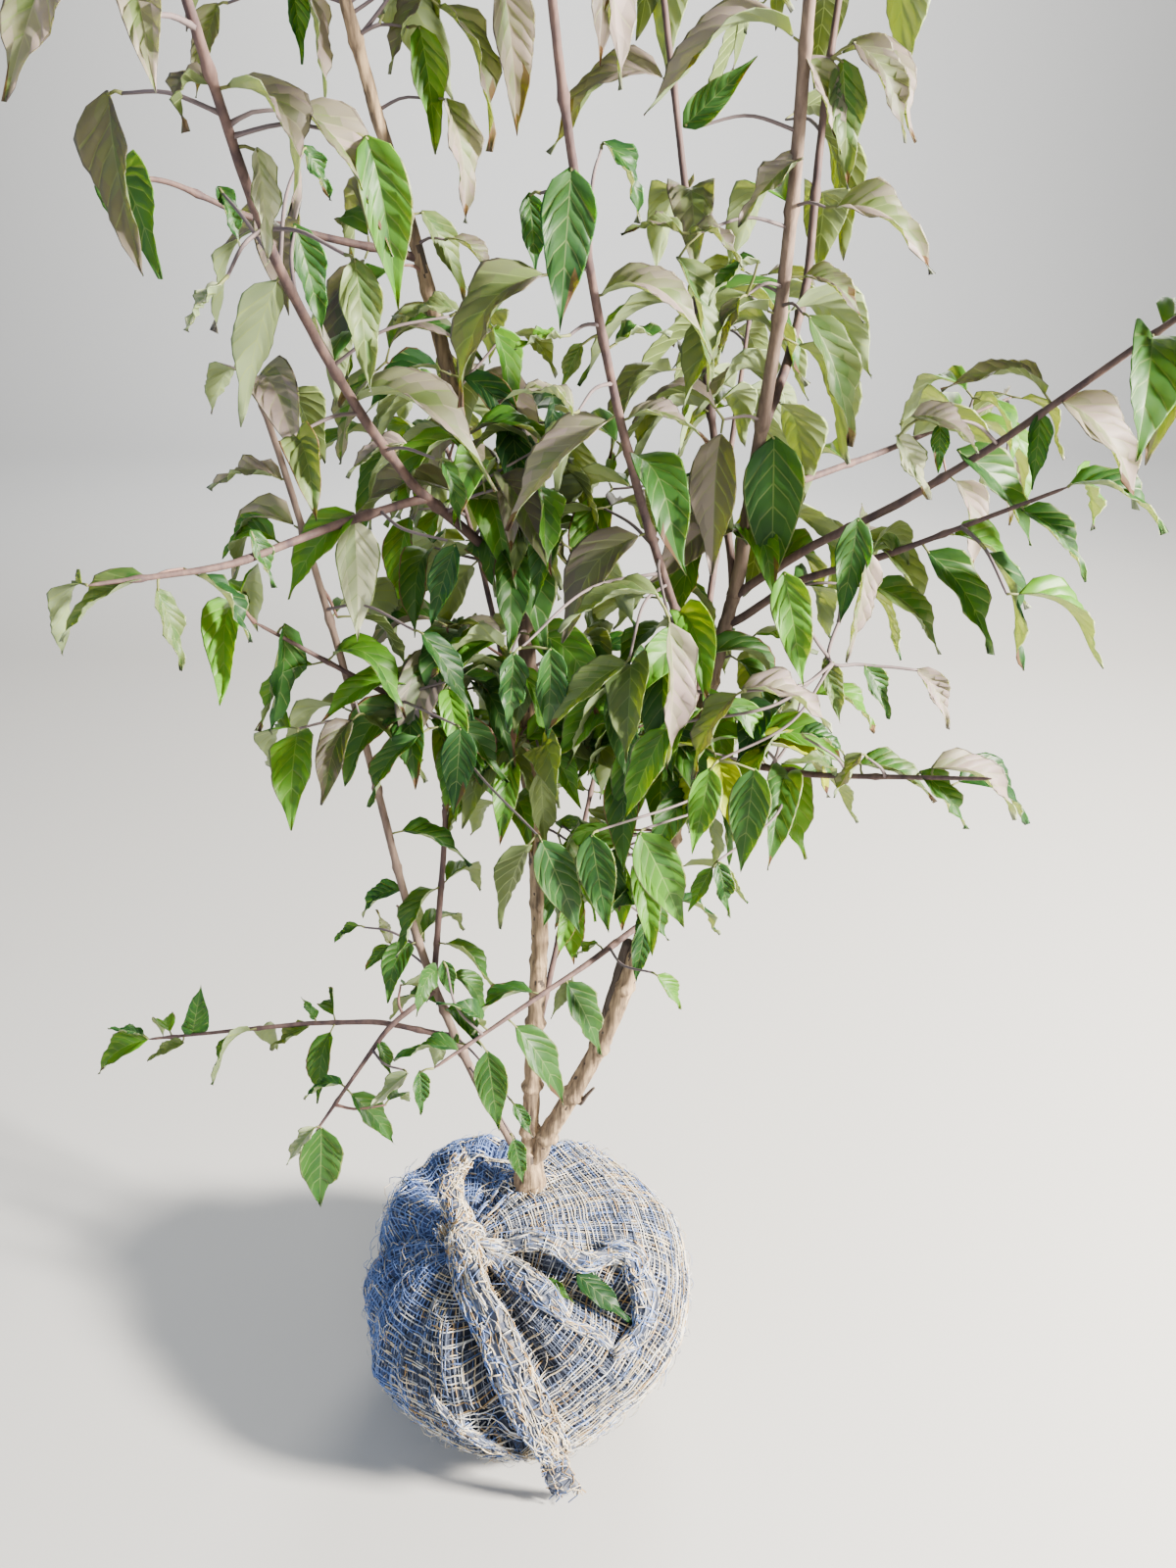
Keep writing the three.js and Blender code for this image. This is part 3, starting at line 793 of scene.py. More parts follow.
class Shrub:
    """The twigs and leaves that the limbs have grown."""

    def __init__(self):
        self.twigs = Pile()
        self.petioles = Pile()
        self.leaves = {name: Pile() for name in MASSES}

    def leaf(self, home, base, way, top, length, look, own):
        """Adds a leaf that hangs from base, if it has room, and says whether it had."""
        start = base + unit(way) * own.uniform(0.006, 0.011) - UP * 0.001
        spine = hanging_spine(start, way, top, length, own.uniform(0.72, 1.03), own.normal(0, 0.35), own)
        points = blade(spine, length * own.uniform(0.33, 0.42), own.uniform(0.45, 1.15), own)
        fits = inside_room(points) and not hides_leading(spine[0])
        if fits:
            self.put(home, points, base, start, way, look, own)
        return fits

    def put(self, home, points, base, start, way, look, own):
        """Adds a blade and the stalk that carries it."""
        self.leaves[home].add(points, (LEAF_FACES, leaf_tones(look, own)))
        path = np.stack([base, mix(base, start, 0.5) + UP * 0.0004, start + unit(way) * 0.002])
        add_tube(self.petioles, path, np.array([0.0013, 0.0010, 0.0009]), 5)

    def pair(self, home, base, way, out, length, look, own):
        """Two opposite leaves at a node of a twig that runs along way, and whether either had room."""
        grown = False
        for hand in (-1, 1):
            aim = unit(unit(way) * own.uniform(0.15, 0.60) + unit(out) * hand + UP * own.uniform(-0.10, 0.30))
            top = unit(UP + 0.35 * unit(way) + own.normal(0, 0.28, 3))
            size = length * own.uniform(0.82, 1.10) * LEAF_SHARE.get(home, 1.0)
            grown = self.leaf(home, base, aim, top, size, look, own) or grown
        return grown

    def twig(self, path, thick, thin, tone=0):
        radius = np.linspace(thick, thin, len(path))
        radius[0] *= 1.35
        add_tube(self.twigs, path, radius, 6, tones=tone, end_tone=tone)


shrub = Shrub()
TWIG_STEP = 0.007


def sprig(home, start, leave, target, own, pairs):
    """A twig from a limb to a target, with pairs of leaves on its outer part and a pair at its end."""
    reach = np.linalg.norm(target - start)
    bulge = start + unit(leave) * reach * 0.38
    sag = target - UP * 0.004
    path = curve_through([start, mix(bulge, mix(start, sag, 0.5), 0.5), sag], TWIG_STEP)
    tone = 0 if own.random() < 0.7 else 1
    look = spray_look(target[2], own)
    last = 0
    along, side, rise = path_frames(path)
    gap = own.uniform(0.032, 0.048)
    turn = own.uniform(0, math.pi)
    for k in range(pairs):
        i = len(path) - 1 - int(round(k * gap / TWIG_STEP))
        if i < 3:
            break
        angle = turn + (k % 2) * math.pi / 2
        out = side[i] * math.cos(angle) + rise[i] * math.sin(angle)
        out = unit(out * np.array([1, 1, 0.45]))
        size = leaf_length(path[i][2]) * (1.0 if k else own.uniform(0.72, 0.95))
        if shrub.pair(home, path[i], along[i], out, size, look, own):
            last = max(last, i)
    if last:
        shrub.twig(path[:last + 1], 0.0017, 0.0010, tone)


def home_of(point, slack=1.30):
    """The mass of leaves that a point belongs to, if any is near."""
    best = min(MASSES, key=lambda name: depth_in(point, name))
    return best if depth_in(point, best) < slack else None


def nodes_of(limb, own):
    """Distances of the nodes along a limb, closer together on young wood."""
    if limb.name == "stock":
        return []
    low, high = (0.066, 0.105) if limb.kind == "young" else (0.068, 0.100)
    out = []
    far = own.uniform(0.035, 0.060)
    while far < limb.length - 0.012:
        out.append(far)
        far += own.uniform(low, high)
    return out


LIMB_NODES = {}


def grow_from_limbs():
    """Opposite side twigs and leaves at the nodes of each limb that runs through leaves."""
    for order, limb in enumerate(LIMBS.values()):
        own = np.random.default_rng(900 + order)
        knots = nodes_of(limb, own)
        LIMB_NODES[limb.name] = [(far, own.uniform(0.20, 0.45)) for far in knots]
        turn = own.uniform(0, math.pi)
        for k, far in enumerate(knots):
            point, way = limb.at(far)
            home = home_of(point)
            if home is None:
                continue
            side = across(way)
            other = np.cross(way, side)
            angle = turn + (k % 2) * math.pi / 2
            out = side * math.cos(angle) + other * math.sin(angle)
            if limb.kind == "young":
                look = spray_look(point[2], own)
                out = unit(out * np.array([1, 1, 0.5]))
                shrub.pair(home, point, way, out, leaf_length(point[2]), look, own)
                continue
            for hand in (-1, 1):
                if own.random() < 0.35:
                    continue
                leave = unit(way * 0.6 + out * hand)
                target = point + leave * own.uniform(0.04, 0.10) + UP * 0.01
                sprig(home, point, leave, target, own, int(own.integers(1, 3)))
        if limb.kind == "young":
            tip, way = limb.at(limb.length)
            home = home_of(tip, 2.0)
            if home:
                look = spray_look(tip[2], own)
                shrub.pair(home, tip, way, across(way), leaf_length(tip[2]) * 0.8, look, own)


# Points of the limbs, from a little above their bases, and the way on from each
FROM_BASE = 6
BEARING = [limb.line for limb in LIMBS.values() if limb.name != "stock"]
WOOD = np.concatenate([line[FROM_BASE:] for line in BEARING])
WOOD_WAY = np.concatenate([unit(np.gradient(line, axis=0))[FROM_BASE:] for line in BEARING])
LITRE = 0.001
# Masses with fewer or more twigs than their height gives, and those with smaller leaves
TWIG_SHARE = {
    "leaves_right_inner": 0.45, "leaves_right_far": 0.6, "leaves_right_low": 0.4, "leaves_right_high": 0.4,
    "leaves_right_end": 0.5, "leaves_right_droop": 0.4, "leaves_left_high": 0.5, "leaves_left_tip": 0.4,
    "leaves_left_inner": 0.65, "leaves_rear_left": 0.6, "leaves_rear_right": 0.7, "leaves_rear_low": 0.55,
    "leaves_front_top": 0.6, "leaves_skirt": 1.7, "leaves_centre_left": 1.5, "leaves_centre_top": 1.6,
    "leaves_centre_right": 1.15, "leaves_low_stem": 1.1, "leaves_low_front": 0.5, "leaves_low_left": 0.35,
    "leaves_low_far": 0.3,
}
LEAF_SHARE = {"leaves_front_top": 0.72, "leaves_front_low": 0.84, "leaves_left_high": 0.88,
              "leaves_centre_high": 0.85, "leaves_rear_left": 1.1, "leaves_rear_right": 1.1}


def litres_per_twig(name, height):
    """Leaves are close together in the middle of the shrub and loose at its top."""
    plain = np.interp(height, [0.5, 0.75, 0.85, 1.15, 1.3, 1.6], [0.62, 0.40, 0.28, 0.34, 1.00, 1.50])
    return plain / TWIG_SHARE.get(name, 1.0)


def fill_masses():
    """Further twigs to random places in each mass, from the nearest wood to them."""
    for order, (name, (mid, half)) in enumerate(MASSES.items()):
        own = np.random.default_rng(5000 + order)
        volume = 4 / 3 * math.pi * half.prod() / LITRE
        wanted = max(2, int(round(volume / litres_per_twig(name, mid[2]))))
        for _ in range(wanted):
            ball = own.normal(0, 1, 3)
            ball = unit(ball) * own.uniform(0.25, 1.0) ** 0.5 * 0.86
            target = mid + ball * half
            gap = np.linalg.norm(WOOD - target, axis=1)
            below = WOOD[:, 2] - target[2]
            i = (gap + 0.8 * np.maximum(below + 0.01, 0)).argmin()
            start = WOOD[i]
            if np.linalg.norm(target - start) < 0.02:
                target = start + unit(own.normal(0, 1, 3)) * 0.03
            leave = unit(unit(target - start) + WOOD_WAY[i] * 0.5)
            sprig(name, start, leave, target, own, int(own.integers(1, 4)))


# Leading leaves, where the photo shows them, by depth in metres: look, base and tip in photo pixels, turn of
# the upper face away from the camera (degrees, upwards, 180 for the underside) and arch (share of the length)
LEADING = {
    -0.26: [
        ("mauve", (62, -66), (5, 104), 25, 0.10), ("bronze", (110, 92), (146, 282), -46, 0.10),
        ("bronze", (222, 90), (190, 135), 70, 1.10), ("mauve", (232, 88), (298, 222), 55, 0.75),
        ("pale", (262, 150), (273, 268), 30, 0.10), ("olive", (282, 286), (246, 436), 150, 0.18),
        ("olive", (362, 263), (378, 400), 12, 0.05), ("pale", (226, 290), (190, 338), 60, 0.20),
        ("mauve", (302, 108), (400, 262), 50, 0.30), ("bright", (374, 138), (406, 316), 20, 0.22),
    ],
    -0.12: [
        ("deep", (300, 228), (330, 345), 30, 0.10), ("deep", (222, 190), (245, 255), 30, 0.20),
        ("deep", (310, 148), (338, 205), 30, 0.15), ("mauve", (288, 490), (214, 500), 55, 0.45),
        ("green", (255, 540), (280, 600), 40, 0.10), ("olive", (150, 590), (62, 655), 60, 0.25),
        ("olive", (160, 600), (186, 685), 40, 0.10), ("bright", (362, 524), (295, 612), 35, 0.30),
        ("pale", (362, 530), (365, 655), 8, 0.08), ("deep", (470, 742), (463, 832), 10, 0.08),
        ("deep", (410, 848), (480, 884), 50, 0.35), ("deep", (430, 645), (482, 735), 35, 0.15),
        ("deep", (465, 555), (440, 640), 20, 0.15), ("olive", (470, 318), (402, 326), 65, 0.30),
        ("mauve", (415, 452), (354, 488), 60, 0.35), ("green", (452, 470), (470, 540), 35, 0.20),
        ("deep", (290, 636), (276, 748), 52, 0.10),
    ],
    0.05: [
        ("bronze", (222, 3), (200, 100), 30, 0.10), ("deep", (297, -25), (308, 66), 25, 0.10),
        ("mauve", (313, -20), (332, 108), 60, 0.08), ("bright", (428, 26), (445, 158), 20, 0.15),
        ("bronze", (440, -12), (398, 76), 50, 0.25), ("bronze", (447, 6), (500, 155), 55, 0.35),
        ("mauve", (512, -25), (528, 139), 30, 0.10), ("mauve", (455, 100), (475, 228), 45, 0.20),
        ("olive", (430, 215), (474, 307), 40, 0.20), ("bronze", (462, 243), (508, 300), 60, 0.35),
    ],
    -0.20: [
        ("deep", (583, 170), (571, 340), 4, 0.06), ("bronze", (556, 281), (469, 416), 55, 0.50),
        ("mauve", (613, 302), (727, 366), 55, 0.60), ("deep", (540, 196), (547, 282), 15, 0.05),
        ("mauve", (365, 408), (505, 502), 50, 0.50), ("mauve", (585, 424), (508, 410), 70, 0.55),
        ("mauve", (620, 430), (517, 542), 50, 0.22), ("mauve", (640, 428), (722, 452), 65, 0.45),
        ("green", (628, 352), (685, 342), 65, 0.40), ("olive", (594, 350), (572, 398), 20, 0.10),
        ("bright", (573, 345), (525, 357), 60, 0.35), ("deep", (524, 665), (518, 747), 15, 0.08),
        ("deep", (562, 660), (558, 752), 10, 0.08), ("mauve", (683, 635), (680, 785), 50, 0.10),
        ("bronze", (752, 708), (708, 795), 45, 0.25), ("mauve", (757, 703), (849, 748), 60, 0.40),
        ("olive", (672, 607), (570, 645), 60, 0.35), ("olive", (640, 676), (560, 745), 40, 0.20),
        ("bright", (680, 742), (637, 838), 20, 0.15), ("bright", (725, 783), (706, 872), 5, 0.08),
        ("green", (770, 783), (756, 890), 5, 0.08), ("bright", (800, 583), (820, 703), 8, 0.12),
        ("green", (552, 857), (592, 952), 5, 0.12), ("green", (603, 851), (621, 952), 0, 0.06),
        ("bright", (652, 849), (697, 946), 15, 0.15), ("bronze", (539, 862), (510, 948), 140, 0.15),
        ("bright", (727, 885), (703, 930), 10, 0.10), ("green", (733, 880), (743, 935), 20, 0.10),
    ],
    -0.08: [
        ("green", (697, 130), (773, 57), 10, 0.05), ("deep", (614, 145), (651, 228), 60, 0.40),
        ("bronze", (704, 238), (757, 273), 60, 0.50), ("bronze", (697, 240), (634, 240), 65, 0.40),
        ("olive", (690, 262), (722, 400), 60, 0.20), ("mauve", (820, 160), (753, 232), 45, 0.25),
        ("mauve", (822, 56), (859, 168), 50, 0.20), ("olive", (860, 60), (865, 193), 15, 0.05),
        ("bronze", (870, 42), (923, 146), 50, 0.35), ("mauve", (853, 212), (951, 280), 55, 0.45),
        ("bronze", (820, 283), (881, 330), 50, 0.45), ("olive", (825, 322), (868, 456), 40, 0.20),
        ("bronze", (755, 303), (733, 362), 40, 0.15), ("green", (776, 268), (722, 312), 60, 0.35),
        ("green", (790, 445), (787, 602), 8, 0.06),
    ],
    -0.14: [
        ("bronze", (1066, 402), (960, 398), 65, 0.40), ("mauve", (1082, 408), (1158, 520), 45, 0.35),
        ("deep", (1062, 420), (1053, 500), 20, 0.05), ("green", (976, 459), (1052, 557), 40, 0.25),
        ("green", (1091, 495), (1188, 545), 60, 0.40), ("green", (1042, 520), (1108, 594), 45, 0.30),
        ("green", (946, 563), (1011, 668), 35, 0.25), ("olive", (890, 598), (958, 668), 50, 0.30),
        ("deep", (876, 528), (857, 637), 8, 0.05), ("mauve", (886, 562), (863, 676), 55, 0.05),
        ("olive", (840, 672), (857, 738), 30, 0.15), ("mauve", (930, 425), (998, 463), 60, 0.40),
        ("pale", (915, 443), (948, 510), 35, 0.10), ("deep", (960, 432), (957, 484), 15, 0.05),
        ("green", (882, 678), (907, 734), 35, 0.20), ("mauve", (935, 683), (967, 744), 45, 0.30),
        ("olive", (850, 792), (797, 780), 60, 0.50), ("mauve", (880, 768), (850, 814), 40, 0.10),
        ("olive", (876, 780), (954, 819), 60, 0.35), ("green", (938, 787), (985, 846), 40, 0.25),
        ("mauve", (950, 784), (1036, 837), 60, 0.40), ("deep", (816, 748), (862, 771), 60, 0.35),
    ],
    -0.10: [
        ("green", (497, 1072), (509, 1154), 0, 0.05), ("green", (526, 1047), (575, 1128), 25, 0.20),
        ("green", (524, 1162), (534, 1208), 15, 0.05), ("deep", (490, 1046), (445, 1024), 50, 0.45),
        ("deep", (468, 1072), (402, 1083), 55, 0.35), ("green", (428, 1092), (429, 1138), 15, 0.10),
        ("green", (578, 1002), (612, 1076), 30, 0.15), ("green", (585, 1000), (562, 1040), 150, 0.10),
        ("bright", (670, 995), (694, 1030), 40, 0.20), ("bright", (610, 962), (586, 977), 50, 0.20),
        ("deep", (524, 1126), (543, 1160), 20, 0.10), ("green", (452, 980), (462, 1018), 10, 0.10),
    ],
    -0.09: [
        ("green", (358, 1116), (402, 1167), 20, 0.15), ("green", (328, 1150), (326, 1230), 5, 0.08),
        ("pale", (322, 1150), (292, 1189), 40, 0.10), ("deep", (350, 1107), (310, 1122), 60, 0.35),
        ("green", (386, 1062), (400, 1102), 15, 0.10), ("pale", (417, 1095), (378, 1131), 40, 0.10),
    ],
    0.03: [
        ("bright", (152, 1060), (101, 1096), 40, 0.30), ("deep", (196, 1056), (205, 1005), 20, 0.05),
        ("deep", (147, 1057), (110, 1050), 50, 0.20), ("olive", (188, 1064), (150, 1083), 45, 0.20),
        ("olive", (315, 1048), (276, 1072), 45, 0.20), ("deep", (322, 1040), (307, 1017), 20, 0.05),
        ("deep", (410, 908), (370, 937), 50, 0.40), ("pale", (398, 963), (384, 928), 20, 0.05),
        ("deep", (366, 944), (341, 962), 45, 0.30), ("green", (396, 964), (372, 991), 20, 0.20),
    ],
}
LEADING_TONES = {
    "deep": ("deep", "green", "deep", "deep", "pale"),
    "green": ("green", "deep", "olive", "green", "pale"),
    "bright": ("bright", "green", "olive", "bright", "pale"),
    "olive": ("olive", "green", "olive", "rust", "pale"),
    "bronze": ("bronze", "olive", "bronze", "rust", "olive"),
    "mauve": ("mauve", "olive", "bronze", "rust", "pale"),
    "pale": ("pale_warm", "pale", "olive", "rust", "pale"),
}
LEADING_SEEN = []
SAME_NODE = 0.028
ON_LIMB = 0.016
NEAR_DEPTH = 0.10
CLEAR = 7
# Places in the photo, from (left, top) to (right, bottom), that the crown leaves open
OPEN = [
    ((-200, 120), (100, 590)), ((0, 290), (186, 570)), ((170, 60), (205, 282)), ((932, -60), (1200, 250)),
    ((905, 286), (1030, 372)), ((890, 462), (942, 540)), ((840, 862), (1200, 1200)), ((0, 720), (225, 960)),
    ((0, 1120), (290, 1500)), ((640, 1060), (900, 1500)), ((60, 570), (130, 590)), ((720, 120), (798, 157)),
    ((708, 140), (750, 222)), ((762, 231), (798, 273)), ((882, 165), (936, 200)), ((225, 728), (262, 800)),
]


def hides_leading(line):
    """Whether a midrib shows in an open place, or in front of a leading leaf."""
    spots, far = shown_at(line[::6])
    if any(((spots > low) & (spots < high)).all(1).any() for low, high in OPEN):
        return True
    for base, tip, half, own_far in LEADING_SEEN:
        way = tip - base
        share = np.clip((spots - base) @ way / (way @ way), 0, 1)
        gap = np.linalg.norm(spots - base - share[:, None] * way, axis=1)
        if ((gap < half + CLEAR) & (far < own_far + 0.004)).any():
            return True
    return False


# Twigs that carry leading leaves: depth in metres, and their places in photo pixels
LEADING_TWIGS = [(-0.14, [(845, 668), (880, 678), (912, 681), (937, 684)])]


def leading_base(spot, depth, wood_at, wood_way, nodes):
    """Where a leaf starts and what carries it: a limb that shows there, a node made before, or a new twig."""
    near = nearest_on_sight(spot, wood_at)
    off = np.linalg.norm(wood_at - near, axis=1)
    behind = np.abs(wood_at[:, 1] - depth)
    i = (off + 0.15 * behind).argmin()
    if off[i] < ON_LIMB and behind[i] < NEAR_DEPTH:
        return near[i], wood_at[i]
    base = seen_at(spot, depth)
    gaps = [np.linalg.norm(node - base) for node in nodes]
    if gaps and min(gaps) < SAME_NODE:
        return base, nodes[int(np.argmin(gaps))]
    i = (np.linalg.norm(wood_at - base, axis=1) + 0.5 * np.maximum(wood_at[:, 2] - base[2], 0)).argmin()
    wood = base + unit(wood_at[i] - base) * 0.008
    bulge = mix(wood_at[i], wood, 0.5) + wood_way[i] * 0.12 * np.linalg.norm(wood - wood_at[i])
    shrub.twig(curve_through([wood_at[i], bulge, wood], TWIG_STEP), 0.0015, 0.0010)
    nodes.append(wood)
    return base, wood


def upper_side(base, tip, turn):
    """The way a leaf's upper face looks, turned upwards from the camera."""
    chord = unit(tip - base)
    toward = CAMERA_AT - base
    toward = unit(toward - chord * (toward @ chord))
    aside = np.cross(chord, toward)
    aside = aside * (1 if aside @ (UP + 0.3 * ACROSS) > 0 else -1)
    return toward * math.cos(turn) + aside * math.sin(turn)


def place_leading():
    """Leaves on the limbs that show at their bases, or on short twigs of their own."""
    own = np.random.default_rng(311)
    nodes = []
    wood_at, wood_way = WOOD, WOOD_WAY
    for depth, spots in LEADING_TWIGS:
        path = np.array([seen_at(spot, depth) for spot in spots])
        i = np.linalg.norm(wood_at - path[0], axis=1).argmin()
        path = curve_through(np.vstack([wood_at[i], path]), TWIG_STEP)
        shrub.twig(path, 0.0019, 0.0011)
        wood_at = np.concatenate([wood_at, path])
        wood_way = np.concatenate([wood_way, unit(np.gradient(path, axis=0))])
    rows = [(depth, *row) for depth, group in LEADING.items() for row in group]
    for depth, tone, base_spot, tip_spot, turn, arch in rows:
        base, wood = leading_base(base_spot, depth, wood_at, wood_way, nodes)
        tip = seen_at(tip_spot, base[1] + own.uniform(-0.015, 0.010))
        turn = math.radians(turn + own.uniform(-6, 6))
        spine = aimed_spine(base, tip, upper_side(base, tip, turn), arch, own.normal(0, 0.12))
        width = np.linalg.norm(np.diff(spine[0], axis=0), axis=1).sum() * own.uniform(0.34, 0.40)
        fold = own.uniform(0.30, 0.50) if abs(math.cos(turn)) > 0.97 else own.uniform(0.50, 0.95)
        points = blade(spine, width, fold, own)
        home = min(MASSES, key=lambda name: depth_in(mix(base, tip, 0.5), name))
        if not inside_room(points):
            continue
        shrub.put(home, points, wood, base, spine[0][2] - base, LEADING_TONES[tone], own)
        (low, high), far = shown_at(np.stack([base, tip]))
        half = width / 2 * FOCAL_PIXELS / far.mean() * 0.8
        LEADING_SEEN.append((low, high, half, far.mean()))


place_leading()
grow_from_limbs()
fill_masses()


def build_limbs():
    for order, limb in enumerate(LIMBS.values()):
        if limb.kind == "old":
            sides, step, mats = 22, 0.0032, [BARK_OLD, BARK_CRACK, BARK_TAN]
        else:
            sides, step, mats = 12, 0.0045, [BARK_TAN if limb.name in TAN_STEMS else BARK_RED]
        if limb.size.mean() > THICK_LIMB:
            sides = 28
        grow_bark(limb, 40 + 7 * order, LIMB_NODES[limb.name], sides, step, mats)


THICK_LIMB = 0.0065
# Pruned stubs on the right stem: base and tip in photo pixels, and radius at each
STUBS = [((615, 1038), (641, 961), 0.0062, 0.0056), ((594, 1122), (606, 1110), 0.0030, 0.0014),
         ((620, 1054), (616, 1028), 0.0024, 0.0006)]


def build_stubs():
    pile = Pile()
    line = LIMBS["stem_right"].line
    for order, (base_spot, tip_spot, thick, thin) in enumerate(STUBS):
        near = nearest_on_sight(base_spot, line)
        i = np.linalg.norm(line - near, axis=1).argmin()
        base = mix(near[i], line[i], 0.25) - UP * 0.008
        tip = seen_at(tip_spot, base[1] - 0.004)
        path = curve_through([mix(base, line[i], 0.7), base, mix(base, tip, 0.5), tip], 0.003)
        rough = grain(700 + order, 9, 0.012)
        radius = np.interp(np.linspace(0, 1, len(path)), [0, 0.25, 1], [thick * 0.8, thick, thin])
        add_tube(pile, path, radius, 14, lambda angle, far: 0.16 * thick * rough(angle, far))
    pile.build("bark_stubs", [BARK_CRACK], "bark")


def build_leaves():
    for name, pile in shrub.leaves.items():
        pile.build(name.replace("leaves_", "spray_"), list(LEAF.values()), "leaf", replaces=(name,))
    shrub.twigs.build("twigs", TWIG_MATS, "shoot_bark")
    shrub.petioles.build("leaf_stalks", [STALK], "leaf")


build_limbs()
build_stubs()
build_leaves()


# Burlap, laid out by the angle from the knot (alpha) and round it (beta, 0 to the right, -90 to the front)

KNOT_AT = mass_of("burlap_knot")[0] - UP * 0.004
BALL_MID = mass_of("root_ball")[0]
BALL_MID[2] = 0.47 * box_of("root_ball")[1][2]
TO_KNOT = unit(KNOT_AT - BALL_MID)
TO_RIGHT = unit(np.array([1.0, 0, 0]) - TO_KNOT * TO_KNOT[0])
TO_BACK = np.cross(TO_KNOT, TO_RIGHT)
THREAD = 0.00078
PITCH_OUT = 0.0040
PITCH_ROUND = 0.0049
THREAD_STEP = 0.0075
FLOOR_GAP = 0.0012
# Angle round the knot (beta, radians) of the side away from the key light, where the script paints shade.
PAINTED_SHADE_BETA = 2.50
BALL_ROUND = 0.188
ALPHA_CELLS = 72
BETA_CELLS = 144


def heading(alpha, beta):
    """Unit vectors out of the ball's middle."""
    ring = np.cos(beta)[..., None] * TO_RIGHT + np.sin(beta)[..., None] * TO_BACK
    return np.cos(alpha)[..., None] * TO_KNOT + np.sin(alpha)[..., None] * ring


def ball_reach():
    """Distance from the ball's middle to the CAD ball, on a smoothed grid of alpha and beta."""
    points, tris = solid_of("root_ball")
    tree = BVHTree.FromPolygons([tuple(p) for p in points], [tuple(int(i) for i in t) for t in tris])
    alphas = np.linspace(0, math.pi, ALPHA_CELLS + 1)
    betas = np.linspace(-math.pi, math.pi, BETA_CELLS + 1)[:-1]
    ways = heading(*np.meshgrid(alphas, betas, indexing="ij"))
    reach = np.empty(ways.shape[:2])
    for i, j in np.ndindex(reach.shape):
        hit = tree.ray_cast(Vector(BALL_MID), Vector(ways[i, j]))
        reach[i, j] = hit[3] if hit[0] is not None else 0.15
    for _ in range(3):
        soften(reach)
        reach = (np.roll(reach, 1, 1) + 2 * reach + np.roll(reach, -1, 1)) / 4
    return reach


REACH = ball_reach()


def reach_at(alpha, beta):
    u = np.clip(alpha / math.pi, 0, 1) * ALPHA_CELLS
    v = (beta + math.pi) / (2 * math.pi) * BETA_CELLS
    i, j = np.minimum(np.floor(u).astype(int), ALPHA_CELLS - 1), np.floor(v).astype(int)
    near, on = (mix(REACH[k, j % BETA_CELLS], REACH[k, (j + 1) % BETA_CELLS], v - j) for k in (i, i + 1))
    return mix(near, on, u - i)


# Each fold runs through places given as (alpha, beta in degrees), with a half width and a height in metres
FOLDS = {
    "ridge": ([(0.10, -80), (0.56, -72), (1.08, -73), (1.47, -76)], 0.014, 0.006),
    "right_of_ridge": ([(0.25, -56), (0.60, -60), (0.95, -61)], 0.012, -0.021),
    "left_of_ridge": ([(0.18, -104), (0.45, -97), (0.75, -89)], 0.010, -0.014),
    "valley": ([(0.60, -83), (0.95, -85), (1.10, -86)], 0.010, -0.018),
    "pleat_a": ([(0.40, -99), (0.80, -94), (1.02, -93)], 0.007, 0.010),
    "pleat_b": ([(0.45, -107), (0.80, -102), (1.05, -99)], 0.007, 0.008),
    "pleat_c": ([(0.40, -117), (0.75, -112), (1.00, -108)], 0.008, 0.006),
    "hem": ([(0.90, -109), (1.14, -97), (1.43, -87)], 0.007, 0.006),
    "cavity": ([(1.04, -93), (1.18, -89), (1.34, -84)], 0.009, -0.012),
    "band_edge": ([(0.15, -20), (0.57, -6), (0.78, -12), (0.92, -7), (1.06, -4)], 0.012, 0.010),
    "pocket": ([(0.34, -22), (0.62, -23), (0.85, -24), (1.06, -22)], 0.017, -0.015),
    "pocket_low": ([(0.80, -29), (1.00, -29), (1.12, -28)], 0.012, -0.007),
    "right_fold": ([(1.04, -6), (1.20, -16), (1.26, -28)], 0.011, 0.009),
    "right_bulge": ([(1.25, -2), (1.40, -12), (1.50, -22)], 0.016, 0.006),
    "scallop_a": ([(0.30, 146), (0.70, 150), (1.10, 152)], 0.018, 0.009),
    "crease_a": ([(0.20, 162), (0.60, 164), (1.10, 166)], 0.009, -0.013),
    "scallop_b": ([(0.30, 178), (0.70, 179), (1.10, 180)], 0.018, 0.010),
    "crease_b": ([(0.20, -168), (0.60, -166), (1.10, -165)], 0.009, -0.013),
    "scallop_c": ([(0.30, -152), (0.70, -150), (1.10, -148)], 0.018, 0.009),
    "low_left_gather": ([(0.25, -140), (0.60, -136), (0.95, -130)], 0.012, 0.005),
    "hood": ([(0.50, 150), (0.66, 132), (0.80, 112), (0.90, 96)], 0.022, 0.026),
    "peak": ([(0.62, 112), (0.72, 92), (0.86, 78)], 0.022, 0.020),
    "neck_hollow": ([(0.36, 66), (0.52, 62), (0.62, 62)], 0.008, -0.014),
    "back_fold_a": ([(0.30, 130), (0.80, 138), (1.40, 140)], 0.014, 0.006),
    "back_fold_b": ([(0.90, 60), (1.30, 62), (1.80, 60)], 0.016, 0.007),
    "back_fold_c": ([(0.90, 95), (1.40, 98), (1.90, 95)], 0.014, -0.006),
}


def gap_to(path, alpha, beta):
    """Distance over the ball from places to a path, in metres."""
    spots = heading(alpha, beta)
    marks = heading(np.array([a for a, _ in path]), np.array([b * DEGREE for _, b in path]))
    best = np.full(alpha.shape, 9.0)
    for a, b in zip(marks[:-1], marks[1:]):
        line = b - a
        share = np.clip(((spots - a) @ line) / (line @ line), 0, 1)
        best = np.minimum(best, np.linalg.norm(spots - a - share[..., None] * line, axis=-1))
    return best * 0.18


